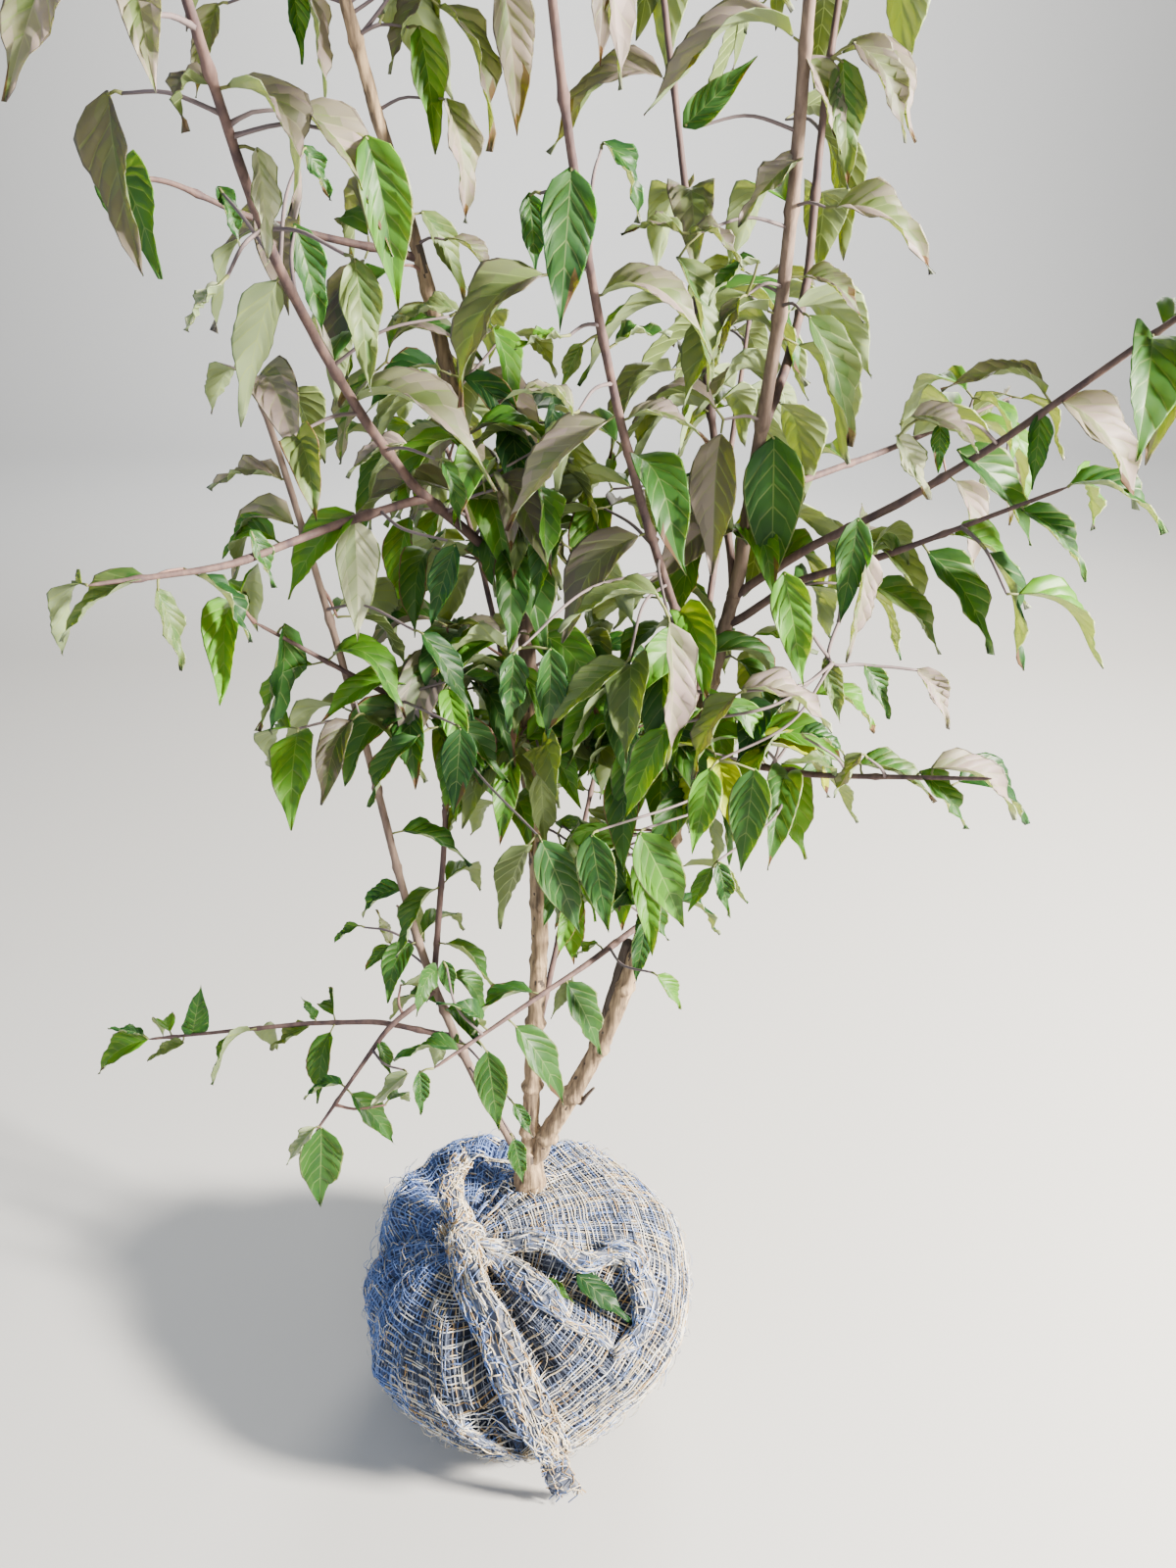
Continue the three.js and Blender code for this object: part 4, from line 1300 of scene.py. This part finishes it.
GATHERS = [(7, 0.9, 0.30), (11, 2.1, 0.24), (17, 0.3, 0.20), (26, 4.0, 0.16), (41, 1.2, 0.10)]


def cloth_height(alpha, beta):
    """Height of the cloth over the CAD ball, from gathers out from the knot, lumps and the named folds."""
    fan = sum(s * np.sin(k * beta + p + 0.9 * np.sin(2.2 * alpha + k)) for k, p, s in GATHERS)
    size = 0.0065 * np.exp(-((alpha - 0.45) / 0.42) ** 2) + 0.0030 * np.exp(-((alpha - 1.3) / 0.7) ** 2)
    lumps = 0.0022 * np.sin(5 * alpha + 1.3 * np.sin(3 * beta)) * np.sin(4 * beta + 2 * alpha)
    height = fan * size + lumps
    for path, width, rise in FOLDS.values():
        height = height + rise * np.exp(-(gap_to(path, alpha, beta) / width) ** 2)
    return height


def on_ball(alpha, beta, lift=0.0):
    """Places on the cloth, and the unit vectors out of it."""
    alpha, beta = np.broadcast_arrays(np.asarray(alpha, float), np.asarray(beta, float))
    way = heading(alpha, beta)
    point = BALL_MID + way * (reach_at(alpha, beta) + cloth_height(alpha, beta) + lift)[..., None]
    point[..., 2] = np.maximum(point[..., 2], FLOOR_GAP + 0.0004 * (1 + np.sin(alpha * 90 + beta * 70)))
    return point, way


def add_threads(pile, paths, outward, radius, tones, own, sides=3):
    """Closed thin tubes, one for each row of points, all with as many points."""
    count, points = paths.shape[:2]
    along = unit(np.gradient(paths, axis=1))
    side = unit(np.cross(along, outward))
    rise = np.cross(side, along)
    size = radius * own.uniform(0.72, 1.30, (count, points))
    angle = round_angles(sides) + own.uniform(0, 2, (count, 1, 1))
    ring = side[:, :, None] * np.cos(angle)[..., None] + rise[:, :, None] * np.sin(angle)[..., None]
    tube = paths[:, :, None] + ring * size[..., None, None]
    shift = (np.arange(count) * points * sides)[:, None, None]
    quads = (tube_sides(points, sides)[None] + shift).reshape(-1, 4)
    fan = np.arange(1, sides - 1)
    low = np.stack([np.zeros_like(fan), fan + 1, fan], 1)
    high = np.stack([np.zeros_like(fan), fan, fan + 1], 1) + (points - 1) * sides
    caps = (np.concatenate([low, high])[None] + shift).reshape(-1, 3)
    pile.add(tube.reshape(-1, 3), (quads, np.repeat(tones, sides, axis=1).ravel()),
             (caps, np.repeat(tones[:, 0], len(low) + len(high))))


PLAIN_SHARES = (0.27, 0.19, 0.14, 0.20, 0.08, 0.12)
OUT_SHARES = (0.08, 0.05, 0.22, 0.22, 0.05, 0.38)
ROUND_SHARES = (0.42, 0.27, 0.06, 0.10, 0.09, 0.06)
TAIL_SHARES = (0.38, 0.02, 0.00, 0.06, 0.26, 0.28)
RIDGE_SHARES = (0.40, 0.20, 0.07, 0.12, 0.10, 0.11)
KNOT_SHARES = (0.50, 0.14, 0.05, 0.10, 0.16, 0.05)


def tweed(count, length, own, shares=PLAIN_SHARES):
    """Tones along each thread, which is spun of two."""
    first, second = (own.choice(len(THREAD_MATS), (count, 1), p=shares) for _ in range(2))
    other = np.cumsum(own.random((count, length)) < 0.3, axis=1) % 2
    return np.where(other, first, second)


def in_shade(beta):
    """The share of blue, as painted shade, on the side of the ball that faces away from the key light."""
    return smooth(np.cos(beta - PAINTED_SHADE_BETA), -0.25, 0.60)


def runs(mask, least=4):
    """Start and end of each unbroken run of true values."""
    edges = np.flatnonzero(np.diff(np.concatenate([[0], mask.astype(int), [0]])))
    return [(a, b) for a, b in zip(edges[::2], edges[1::2]) if b - a >= least]


# Where slate threads darken the cloth, and how wide: between the ridge and the pocket, for the open net and
# the shade in its gaps, and left of the ridge, as painted shade in its creases
SLATE_NETS_AND_SHADE = [([(0.66, -64), (1.00, -57), (1.32, -50)], 0.034), ([(0.80, -122), (1.10, -114), (1.45, -104)], 0.030)]


def lay(piles, alpha, beta, keep, lift, radius, own, shares, dark, rare):
    """Threads along rows of places on the ball, where keep is true, most of them blue on its left, as painted
    shade.
    """
    point, out = on_ball(alpha, beta, lift)
    allowed = keep(alpha, beta) & (point[..., 2] > FLOOR_GAP + 0.001)
    tones = tweed(*alpha.shape, own, shares)
    # Painted shade: away from the key light threads turn blue, tan ones grey, and more of them slate.
    shade = in_shade(beta)
    tones = np.where(shade > own.uniform(0.05, rare, alpha.shape), BLUE, tones)
    tones = np.where((tones == TAN) & (shade > 0.4), GREY, tones)
    net = sum(np.exp(-(gap_to(path, alpha, beta) / wide) ** 2) for path, wide in SLATE_NETS_AND_SHADE) + 0.12 * shade
    tones = np.where(net * dark > own.random(alpha.shape), SLATE, tones)
    for i, row in enumerate(allowed):
        for lo, hi in runs(row):
            pile = piles[int(own.integers(len(piles)))]
            add_threads(pile, point[None, i, lo:hi], out[None, i, lo:hi], radius, tones[None, i, lo:hi - 1],
                        own)


def strays(shape, own, pitch, slack=0.30):
    """How far threads drift to the side along their length, within a share of the distance between them."""
    drift = np.cumsum(own.normal(0, 0.22, shape), axis=1)
    drift = drift - drift.mean(1, keepdims=True)
    return pitch * slack * (own.uniform(-1, 1, (shape[0], 1)) + np.clip(drift, -1.4, 1.4))


def lay_out(piles, betas, alphas, keep, lift, radius, own, starts):
    """Threads out from the knot."""
    alpha, beta = np.meshgrid(alphas, betas)
    beta = beta + strays(beta.shape, own, np.diff(betas).mean())
    start = np.resize(starts, len(betas))[:, None]
    bob = 0.0006 * np.sin(own.uniform(0, 6, (len(betas), 1)) + alpha * 22)

    def begun(a, b):
        return keep(a, b) & (alpha > start)

    lay(piles, alpha, beta, begun, lift + bob, radius, own, OUT_SHARES, 0.75, 1.08)


def lay_round(piles, alphas, low, high, keep, lift, radius, own):
    """Threads round the ball, from one angle to another."""
    for alpha in alphas:
        count = max(8, int((high - low) * BALL_ROUND * math.sin(alpha) / THREAD_STEP))
        beta = np.linspace(low, high, count)[None]
        row = alpha + strays(beta.shape, own, np.diff(alphas).mean(), 0.36)
        bob = 0.0008 * np.sin(own.uniform(0, 6) + beta * 14)
        lay(piles, row, beta, keep, lift + bob, radius, own, ROUND_SHARES, 0.30, 1.40)


MAT_POINTS = 5


class Rope:
    """A gathered fold of cloth round a path, with lobes that twist along it."""

    def __init__(self, path, wide, flat, outward=None, lobes=3, twist=25.0, depth=0.13):
        self.path = resample(np.asarray(path, float), 0.004)
        along, side, rise = path_frames(self.path)
        if outward is not None:
            out = outward(self.path)
            rise = unit(out - along * np.sum(out * along, 1, keepdims=True))
            side = np.cross(along, rise)
        self.far = travelled(self.path)
        self.length = self.far[-1]
        self.fields = [self.path, along, side, rise]
        self.wide = np.interp(self.far / self.length, np.linspace(0, 1, len(wide)), wide)
        self.flat = np.interp(self.far / self.length, np.linspace(0, 1, len(flat)), flat)
        self.lobes, self.twist, self.depth = lobes, twist, depth

    def at(self, far, turn, share=1.0):
        """Points on the rope, or past its end in line with it, and the unit vectors out of it."""
        spot, along, side, rise = (picked(far, self.far, field) for field in self.fields)
        past = far - np.clip(far, 0, self.length)
        spot = spot + along * past[..., None]
        wave = self.lobes * turn - self.twist * far
        swell = share * (1 + self.depth * np.cos(wave) + 0.05 * np.sin(7 * turn + 130 * far))
        wide = np.interp(far, self.far, self.wide) * swell
        flat = np.interp(far, self.far, self.flat) * swell
        reach = side * (np.cos(turn) * wide)[..., None] + rise * (np.sin(turn) * flat)[..., None]
        return spot + reach, unit(side * np.cos(turn)[..., None] + rise * np.sin(turn)[..., None])

    def add_core(self, pile, own, sides=18):
        """The felted inside of the rope."""
        far = np.linspace(0, self.length, max(4, int(self.length / 0.006)))
        points, _ = self.at(*np.meshgrid(far, round_angles(sides), indexing="ij"), share=0.93)
        quads, caps = tube_faces(len(far), sides)
        points = np.concatenate([points.reshape(-1, 3), self.path[:1], self.path[-1:]])
        pile.add(points, (quads, own.choice([0, 1, 1, 1, 3], len(quads))), (caps, 1))

    def add_mat(self, pile, own, cover, cross, slant, long, fray=(0.0, 0.0), shares=PLAIN_SHARES):
        """Short threads over the rope, along it and across it, some of them drawn out past its ends, with
        painted shade in blue on its flank away from the key light.
        """
        girth = math.pi * (self.wide.mean() + self.flat.mean())
        count = int(cover * girth * self.length / (long * 2 * THREAD * 1.6))
        reach = own.uniform(0.5, 1.4, (count, 1)) * long
        way = own.normal(0, slant, (count, 1)) + np.where(own.random((count, 1)) < cross, math.pi / 2, 0)
        bend = own.normal(0, 14, (count, 1))
        spread = np.linspace(-0.5, 0.5, MAT_POINTS)[None] * reach
        mid = own.uniform(-fray[0] - 0.3 * long, self.length + fray[1] + 0.3 * long, (count, 1))
        mid = np.clip(mid, reach * 0.3 - fray[0], self.length + fray[1] - reach * 0.3)
        far = mid + spread * np.cos(way + bend * spread)
        round_it = spread * np.sin(way + bend * spread) / (girth / (2 * math.pi))
        turn = own.uniform(0, 2 * math.pi, (count, 1)) + round_it
        share = own.uniform(0.96, 1.08, (count, 1)) + 0.03 * np.sin(spread * 300 + mid * 900)
        past = np.abs(far - np.clip(far, 0, self.length))
        share = share + past * own.uniform(-25, 30, (count, 1))
        paths, out = self.at(far, turn, share)
        paths[..., 2] = np.maximum(paths[..., 2], 0.001)
        tones = tweed(count, MAT_POINTS - 1, own, shares)
        # Painted shade: threads on the flank that faces -x, away from the key light, turn blue.
        away = smooth(-out[:, :1, 0], -0.15, 0.75)
        tones = np.where(away > own.uniform(0.25, 1.9, tones.shape), BLUE, tones)
        add_threads(pile, paths, out, THREAD, tones, own)


def add_rope(pile, cores, own, path, wide, flat, mat, **rest):
    """A rope with its core, whose width and height are given evenly along it."""
    rope = Rope(path, wide, flat, **rest)
    rope.add_core(cores, own)
    rope.add_mat(pile, own, **mat)


def over_ball(places, lift):
    """A path over the cloth through (alpha, beta in degrees) places."""
    dense = curve_through([(a, b * DEGREE, 0.0) for a, b in places], 0.03)
    point, _ = on_ball(dense[:, 0], dense[:, 1], lift)
    return resample(point, 0.005)


def from_mid(path):
    return unit(path - BALL_MID)


BAND_EDGE = [(0.12, -22), (0.35, -8), (0.57, -7), (0.78, -13), (0.92, -8), (1.05, -5)]
BAND_START = -24
BAND_END = 1.22
BAND_FAR = 82
LIP = {"outward": from_mid, "lobes": 1, "twist": 12, "depth": 0.08,
       "mat": {"cover": 2.0, "cross": 0.2, "slant": 0.15, "long": 0.026}}
RIDGE_MAT = {"cover": 1.9, "cross": 0.16, "slant": 0.13, "long": 0.028, "shares": RIDGE_SHARES}
FUZZY = {"cover": 2.3, "cross": 0.2, "slant": 0.5, "long": 0.020, "fray": (0.004, 0.004),
         "shares": KNOT_SHARES}
TAIL_MAT = {"cover": 1.5, "cross": 0.10, "slant": 0.08, "long": 0.034, "fray": (0.0, 0.014),
            "shares": TAIL_SHARES}


def in_band(alpha, beta):
    edge = np.interp(alpha, [a for a, _ in BAND_EDGE], [b for _, b in BAND_EDGE]) * DEGREE
    return (beta > edge) & (beta < BAND_FAR * DEGREE) & (alpha < BAND_END)


def near(path, width):
    return lambda alpha, beta: gap_to(path, alpha, beta) < width


in_cavity = near(FOLDS["cavity"][0], 0.0065)
in_hollow = near(FOLDS["neck_hollow"][0], 0.008)


def build_weave(own):
    """The cloth round the ball, open in the cavity and the hollow by the neck and under the band."""
    piles = [Pile(), Pile()]
    count = int(2 * math.pi * BALL_ROUND / PITCH_OUT)
    betas = (np.arange(count) / count * 2 - 1) * math.pi

    def keep(alpha, beta):
        open_here = in_cavity(alpha, beta) | in_hollow(alpha, beta)
        return ~(in_band(alpha, beta) & (alpha < BAND_END - 0.06)) & ~open_here

    alphas = np.arange(0.10, 2.75, THREAD_STEP / BALL_ROUND)
    lay_out(piles, betas, alphas, keep, 0.0, THREAD, own, (0.10, 0.66, 0.34, 0.66))
    alphas = np.arange(0.14, 2.70, PITCH_ROUND / BALL_ROUND)
    lay_round(piles, alphas, -math.pi, math.pi, keep, 0.0005, THREAD * 1.1, own)
    for name, pile in zip("ab", piles):
        pile.build("cloth_weave_" + name, THREAD_MATS, "burlap", replaces=("root_ball",))


def build_band(cores, own):
    """The pleated band to the right, its turned lips and the fold below it."""
    pile = Pile()
    betas = np.arange(BAND_START, BAND_FAR + 2, 1.30) * DEGREE
    alphas = np.arange(0.12, BAND_END + 0.10, THREAD_STEP / BALL_ROUND)
    lay_out([pile], betas, alphas, in_band, 0.0030, THREAD * 0.95, own, (0.10, 0.40, 0.24, 0.55))
    alphas = np.arange(0.20, BAND_END + 0.10, PITCH_ROUND / BALL_ROUND)
    lay_round([pile], alphas, BAND_START * DEGREE, BAND_FAR * DEGREE, in_band, 0.0037, THREAD, own)
    path = over_ball(BAND_EDGE, 0.004)
    add_rope(pile, cores, own, path, [0.006, 0.010, 0.011, 0.008], [0.004, 0.007, 0.008, 0.006], **LIP)
    path = over_ball([(0.92, -5), (1.08, -6), (1.20, -15), (1.26, -27), (1.20, -37)], 0.005)
    add_rope(pile, cores, own, path, [0.010, 0.016, 0.018, 0.014, 0.006], [0.007, 0.012, 0.013, 0.010, 0.004],
             **LIP)
    path = over_ball([(0.84, -41), (0.98, -38), (1.10, -37), (1.20, -37)], 0.001)
    add_rope(pile, cores, own, path, [0.003, 0.006, 0.006, 0.004], [0.002, 0.004, 0.004, 0.003], **LIP)
    pile.build("cloth_band", THREAD_MATS, "burlap", replaces=("burlap_band",))


def build_ridge(cores, own):
    """The thick roll down the front, the fold to its right and the hem to its left."""
    pile = Pile()
    path = over_ball([(0.05, -80), (0.30, -76), (0.56, -71), (0.85, -72), (1.10, -73), (1.48, -76)], 0.004)
    add_rope(pile, cores, own, path, [0.017, 0.019, 0.020, 0.020, 0.017], [0.012, 0.014, 0.014, 0.013, 0.011],
             RIDGE_MAT, outward=from_mid, lobes=3, twist=11, depth=0.22)
    path = over_ball([(0.18, -36), (0.35, -34), (0.52, -35), (0.70, -37), (0.82, -39)], 0.004)
    add_rope(pile, cores, own, path, [0.006, 0.013, 0.016, 0.014, 0.006], [0.004, 0.009, 0.010, 0.009, 0.004],
             **LIP)
    path = over_ball([(0.88, -112), (1.00, -104), (1.14, -97), (1.30, -91), (1.44, -86)], 0.002)
    add_rope(pile, cores, own, path, [0.003, 0.006, 0.007, 0.006, 0.003], [0.002, 0.004, 0.005, 0.004, 0.002],
             **LIP)
    pile.build("cloth_ridge", THREAD_MATS, "burlap", replaces=("burlap_ridge",))


def build_knot(cores, own):
    """The gathered neck, and the loop tied round it."""
    pile = Pile()
    neck = KNOT_AT + np.array([[0.012, -0.030, -0.014], [0.006, -0.016, -0.002], [0, 0, 0.004],
                               [-0.006, 0.020, 0.008]])
    add_rope(pile, cores, own, curve_through(neck, 0.004), [0.022, 0.020, 0.016, 0.014],
             [0.017, 0.016, 0.014, 0.012], FUZZY)
    turn = np.linspace(0.3, 2 * math.pi + 0.5, 30)
    lean = unit(np.array([0.25, -0.75, 0.25]))
    ring_x = across(lean)
    ring_y = np.cross(lean, ring_x)
    ring = ring_x * np.cos(turn)[:, None] * 0.018 + ring_y * np.sin(turn)[:, None] * 0.016
    loop = KNOT_AT + (ring + lean * ((turn - math.pi) * 0.0030)[:, None])
    add_rope(pile, cores, own, loop, [0.006, 0.010, 0.011, 0.007], [0.004, 0.007, 0.007, 0.004],
             dict(FUZZY, fray=(0.018, 0.022)), twist=60)
    pile.build("cloth_knot", THREAD_MATS, "burlap", replaces=("burlap_knot",))


def build_tails(cores, own):
    """The short tail above the knot and the loose one below the ridge."""
    pile = Pile()
    up = KNOT_AT + np.array([[-0.002, 0.010, 0.004], [-0.010, 0.022, 0.020], [-0.014, 0.030, 0.042],
                             [-0.012, 0.036, 0.062], [-0.006, 0.038, 0.074]])
    add_rope(pile, cores, own, curve_through(up, 0.004), [0.015, 0.014, 0.014, 0.012],
             [0.012, 0.011, 0.010, 0.008], dict(FUZZY, fray=(0.0, 0.016)), twist=45, depth=0.18)
    pile.build("cloth_tail_up", THREAD_MATS, "burlap", replaces=("burlap_tail_up",))
    pile = Pile()
    down = [(0.026, -0.186, 0.150), (0.036, -0.186, 0.112), (0.043, -0.182, 0.070), (0.050, -0.176, 0.034)]
    add_rope(pile, cores, own, curve_through(down, 0.004), [0.012, 0.013, 0.015, 0.016],
             [0.006, 0.004, 0.0035, 0.003], TAIL_MAT, outward=from_mid, lobes=5, twist=5, depth=0.22)
    pile.build("cloth_tail_down", THREAD_MATS, "burlap", replaces=("burlap_tail_down",))


def build_cloth():
    own = np.random.default_rng(77)
    cores = Pile()
    build_weave(own)
    for build in (build_band, build_ridge, build_knot, build_tails):
        build(cores, own)
    build_undercloth(own)
    cores.build("cloth_cores", FELTS, "burlap")
    build_cords(own)
    build_fibres(own)
    build_tucked(own)


def build_undercloth(own):
    """The felted ground under the threads, closed and flat below, with blue felt as painted shade on the side
    away from the key light.
    """
    alphas = np.linspace(0.02, math.pi - 0.02, 84)
    betas = np.linspace(-math.pi, math.pi, 169)[:-1]
    point, _ = on_ball(*np.meshgrid(alphas, betas, indexing="ij"), lift=UNDER_THREADS)
    quads, caps = tube_faces(len(alphas), len(betas))
    ends, _ = on_ball(np.array([0.0, math.pi]), np.zeros(2), UNDER_THREADS)
    ends[1, 2] = 0.0
    point[..., 2] = np.where(point[..., 2] < 0.003, 0.0, point[..., 2])
    tones = own.choice([0, 0, 0, 1, 1], len(quads))
    # Painted shade: the felt turns blue on the side away from the key light.
    shade = in_shade(np.tile(betas, len(alphas) - 1))
    tones = np.where(shade > own.uniform(0.05, 1.20, len(quads)), 2, tones)
    pile = Pile()
    pile.add(np.concatenate([point.reshape(-1, 3), ends]), (quads, tones), (caps, 0))
    pile.build("root_ball_soil", FELTS, "soil_ball", replaces=("root_ball",))


UNDER_THREADS = -0.0040
# Each cord runs through places given as (alpha, beta in degrees)
CORDS = [
    [(0.64, 66), (0.46, 70), (0.24, 72)],
    [(0.66, 58), (0.50, 56), (0.30, 52)],
    [(0.70, 76), (0.60, 96), (0.46, 120)],
]


def build_cords(own):
    """Loose cords of cloth between the stems and the knot, and drawn threads in the open front fold."""
    pile = Pile()
    for path in CORDS:
        rope = Rope(over_ball(path, 0.008), [0.0014, 0.0022, 0.0014], [0.0012, 0.0018, 0.0012], lobes=2,
                    twist=200)
        rope.add_mat(pile, own, cover=2.2, cross=0.0, slant=0.12, long=0.030, fray=(0.012, 0.010))
    count = 26
    spread = np.linspace(0, 1, 7)
    alpha = mix(own.uniform(0.98, 1.20, (count, 1)), own.uniform(1.05, 1.42, (count, 1)), spread)
    beta = mix(own.uniform(-100, -90, (count, 1)), own.uniform(-92, -80, (count, 1)), spread) * DEGREE
    sag = 0.006 * np.sin(spread * math.pi) * own.uniform(0.3, 1.0, (count, 1))
    point, out = on_ball(alpha, beta, 0.004 + sag)
    add_threads(pile, point, out, THREAD * 0.9, tweed(count, 6, own), own)
    pile.build("cloth_cords", THREAD_MATS, "burlap")


def hairs(pile, alpha, beta, reach, radius, own):
    """Loose hairs that stand off the threads, blue as painted shade on the side away from the key light."""
    count = len(alpha)
    start, out = on_ball(alpha, beta, 0.0008)
    flat = unit(np.cross(out, own.normal(0, 1, (count, 3))))
    curl = np.cross(out, flat) * own.normal(0, 0.5, (count, 1))
    steps = np.linspace(0, 1, 4)
    lift = own.uniform(0.10, 0.45, (count, 1))
    paths = np.stack([start + (flat * s + curl * s ** 2 + out * lift * math.sin(s * 2.6)) * reach[:, None]
                      for s in steps], 1)
    paths[..., 2] = np.maximum(paths[..., 2], 0.001)
    tones = tweed(count, 3, own)
    # Painted shade: hairs on the side away from the key light turn blue.
    tones = np.where(in_shade(beta)[:, None] > own.uniform(0.05, 1.6, (count, 1)), BLUE, tones)
    add_threads(pile, paths, np.repeat(out[:, None], 4, 1), radius, tones, own)


# Patches of loose hairs: how many, their alphas, their betas in degrees, their lengths and their radius
HAIRS = [
    (2100, (0.1, 2.2), None, (0.006, 0.020), 0.00028),
    (90, (0.52, 0.76), (36, 100), (0.014, 0.034), 0.00050),
    (120, (0.25, 0.95), (120, 200), (0.014, 0.030), 0.00040),
]


def build_fibres(own):
    pile = Pile()
    for count, alphas, betas, reach, radius in HAIRS:
        alpha = own.uniform(*alphas, count)
        beta = own.uniform(*betas, count) * DEGREE if betas else own.uniform(-math.pi, math.pi, count)
        hairs(pile, alpha, beta, own.uniform(*reach, count), radius, own)
    pile.build("cloth_fibres", THREAD_MATS, "burlap")


# Two fallen leaves in the pocket under the band: base and tip on the ball, width, lift, and tones
TUCKED = [
    ((0.79, -18), (1.20, -27), 0.030, 0.006, ("deep", "deep", "deep", "deep", "pale")),
    ((0.62, -27), (0.83, -32), 0.016, 0.013, ("green", "bright", "green", "bright", "pale")),
]


def build_tucked(own):
    pile = Pile()
    for low, high, width, lift, look in TUCKED:
        ends, out = on_ball(np.array([low[0], high[0]]), np.array([low[1], high[1]]) * DEGREE,
                            np.array([lift, lift + 0.004]))
        spine = aimed_spine(ends[0], ends[1], unit(out.mean(0)), 0.10, 0.2)
        pile.add(blade(spine, width, 0.25, own), (LEAF_FACES, leaf_tones(look, own)))
    pile.build("spray_tucked", list(LEAF.values()), "leaf")


build_cloth()


# Stage

FLOOR_HALF = 30.0
SWEEP_START = 5.0
SWEEP_RADIUS = 2.5
WALL_TOP = 9.0
SENSOR = 36.0
# Lamps: place, target, size, power and colour
LAMPS = {
    "key": ((3.3, -1.18, 2.40), (0.05, 0, 0.75), 0.50, 750, (1.0, 0.95, 0.86)),
    "fill": ((-2.8, -1.8, 1.9), (0, 0, 0.6), 2.5, 30, (0.46, 0.67, 1.0)),
    "front": ((0.3, -2.9, 2.3), (0, 0, 0.95), 2.2, 32, (1.0, 0.98, 0.94)),
    "back": ((0.9, 3.0, 2.6), (0, 0, 1.0), 1.6, 90, (1.0, 0.98, 0.92)),
    "backdrop": ((0.0, 3.4, 3.4), (0, 7.5, 2.2), 3.0, 260, (0.92, 0.96, 1.0)),
}


def place_camera():
    data = bpy.data.cameras.new("camera")
    data.sensor_fit = "VERTICAL"
    data.sensor_height = SENSOR
    data.sensor_width = SENSOR
    data.lens = SENSOR * FOCAL_PIXELS / PHOTO_SIZE[1]
    data.clip_start = 0.02
    camera = bpy.data.objects.new("camera", data)
    camera.location = CAMERA_AT
    camera.rotation_euler = (math.pi / 2 - CAMERA_DOWN, 0, 0)
    bpy.context.scene.collection.objects.link(camera)
    bpy.context.scene.camera = camera


def light_up():
    for name, (place, target, size, power, colour) in LAMPS.items():
        light = bpy.data.lights.new(name, "AREA")
        light.size = size
        light.energy = power
        light.color = colour
        lamp = bpy.data.objects.new(name, light)
        lamp.location = place
        lamp.rotation_euler = (Vector(target) - Vector(place)).to_track_quat("-Z", "Y").to_euler()
        bpy.context.scene.collection.objects.link(lamp)
    world = bpy.data.worlds.new("studio")
    world.use_nodes = True
    world.node_tree.nodes["Background"].inputs["Color"].default_value = (0.80, 0.86, 0.95, 1)
    world.node_tree.nodes["Background"].inputs["Strength"].default_value = 0.44
    bpy.context.scene.world = world


def lay_floor():
    """A floor that sweeps up into a wall behind the plant."""
    sweep = [(SWEEP_START + SWEEP_RADIUS * math.sin(t), SWEEP_RADIUS - SWEEP_RADIUS * math.cos(t))
             for t in np.linspace(0, math.pi / 2, 24)]
    profile = [(-FLOOR_HALF, 0.0), *sweep, (SWEEP_START + SWEEP_RADIUS, WALL_TOP)]
    points = [(x, float(y), float(z - 0.0005)) for y, z in profile for x in (-FLOOR_HALF, FLOOR_HALF)]
    quads = [(2 * i, 2 * i + 1, 2 * i + 3, 2 * i + 2) for i in range(len(profile) - 1)]
    mesh = bpy.data.meshes.new("floor")
    mesh.from_pydata(points, [], quads)
    mesh.polygons.foreach_set("use_smooth", [True] * len(quads))
    mesh.materials.append(FLOOR)
    floor = bpy.data.objects.new("floor", mesh)
    bpy.context.scene.collection.objects.link(floor)


place_camera()
light_up()
lay_floor()
bpy.context.scene.view_settings.view_transform = "AgX"
bpy.context.scene.view_settings.look = "AgX - Medium High Contrast"
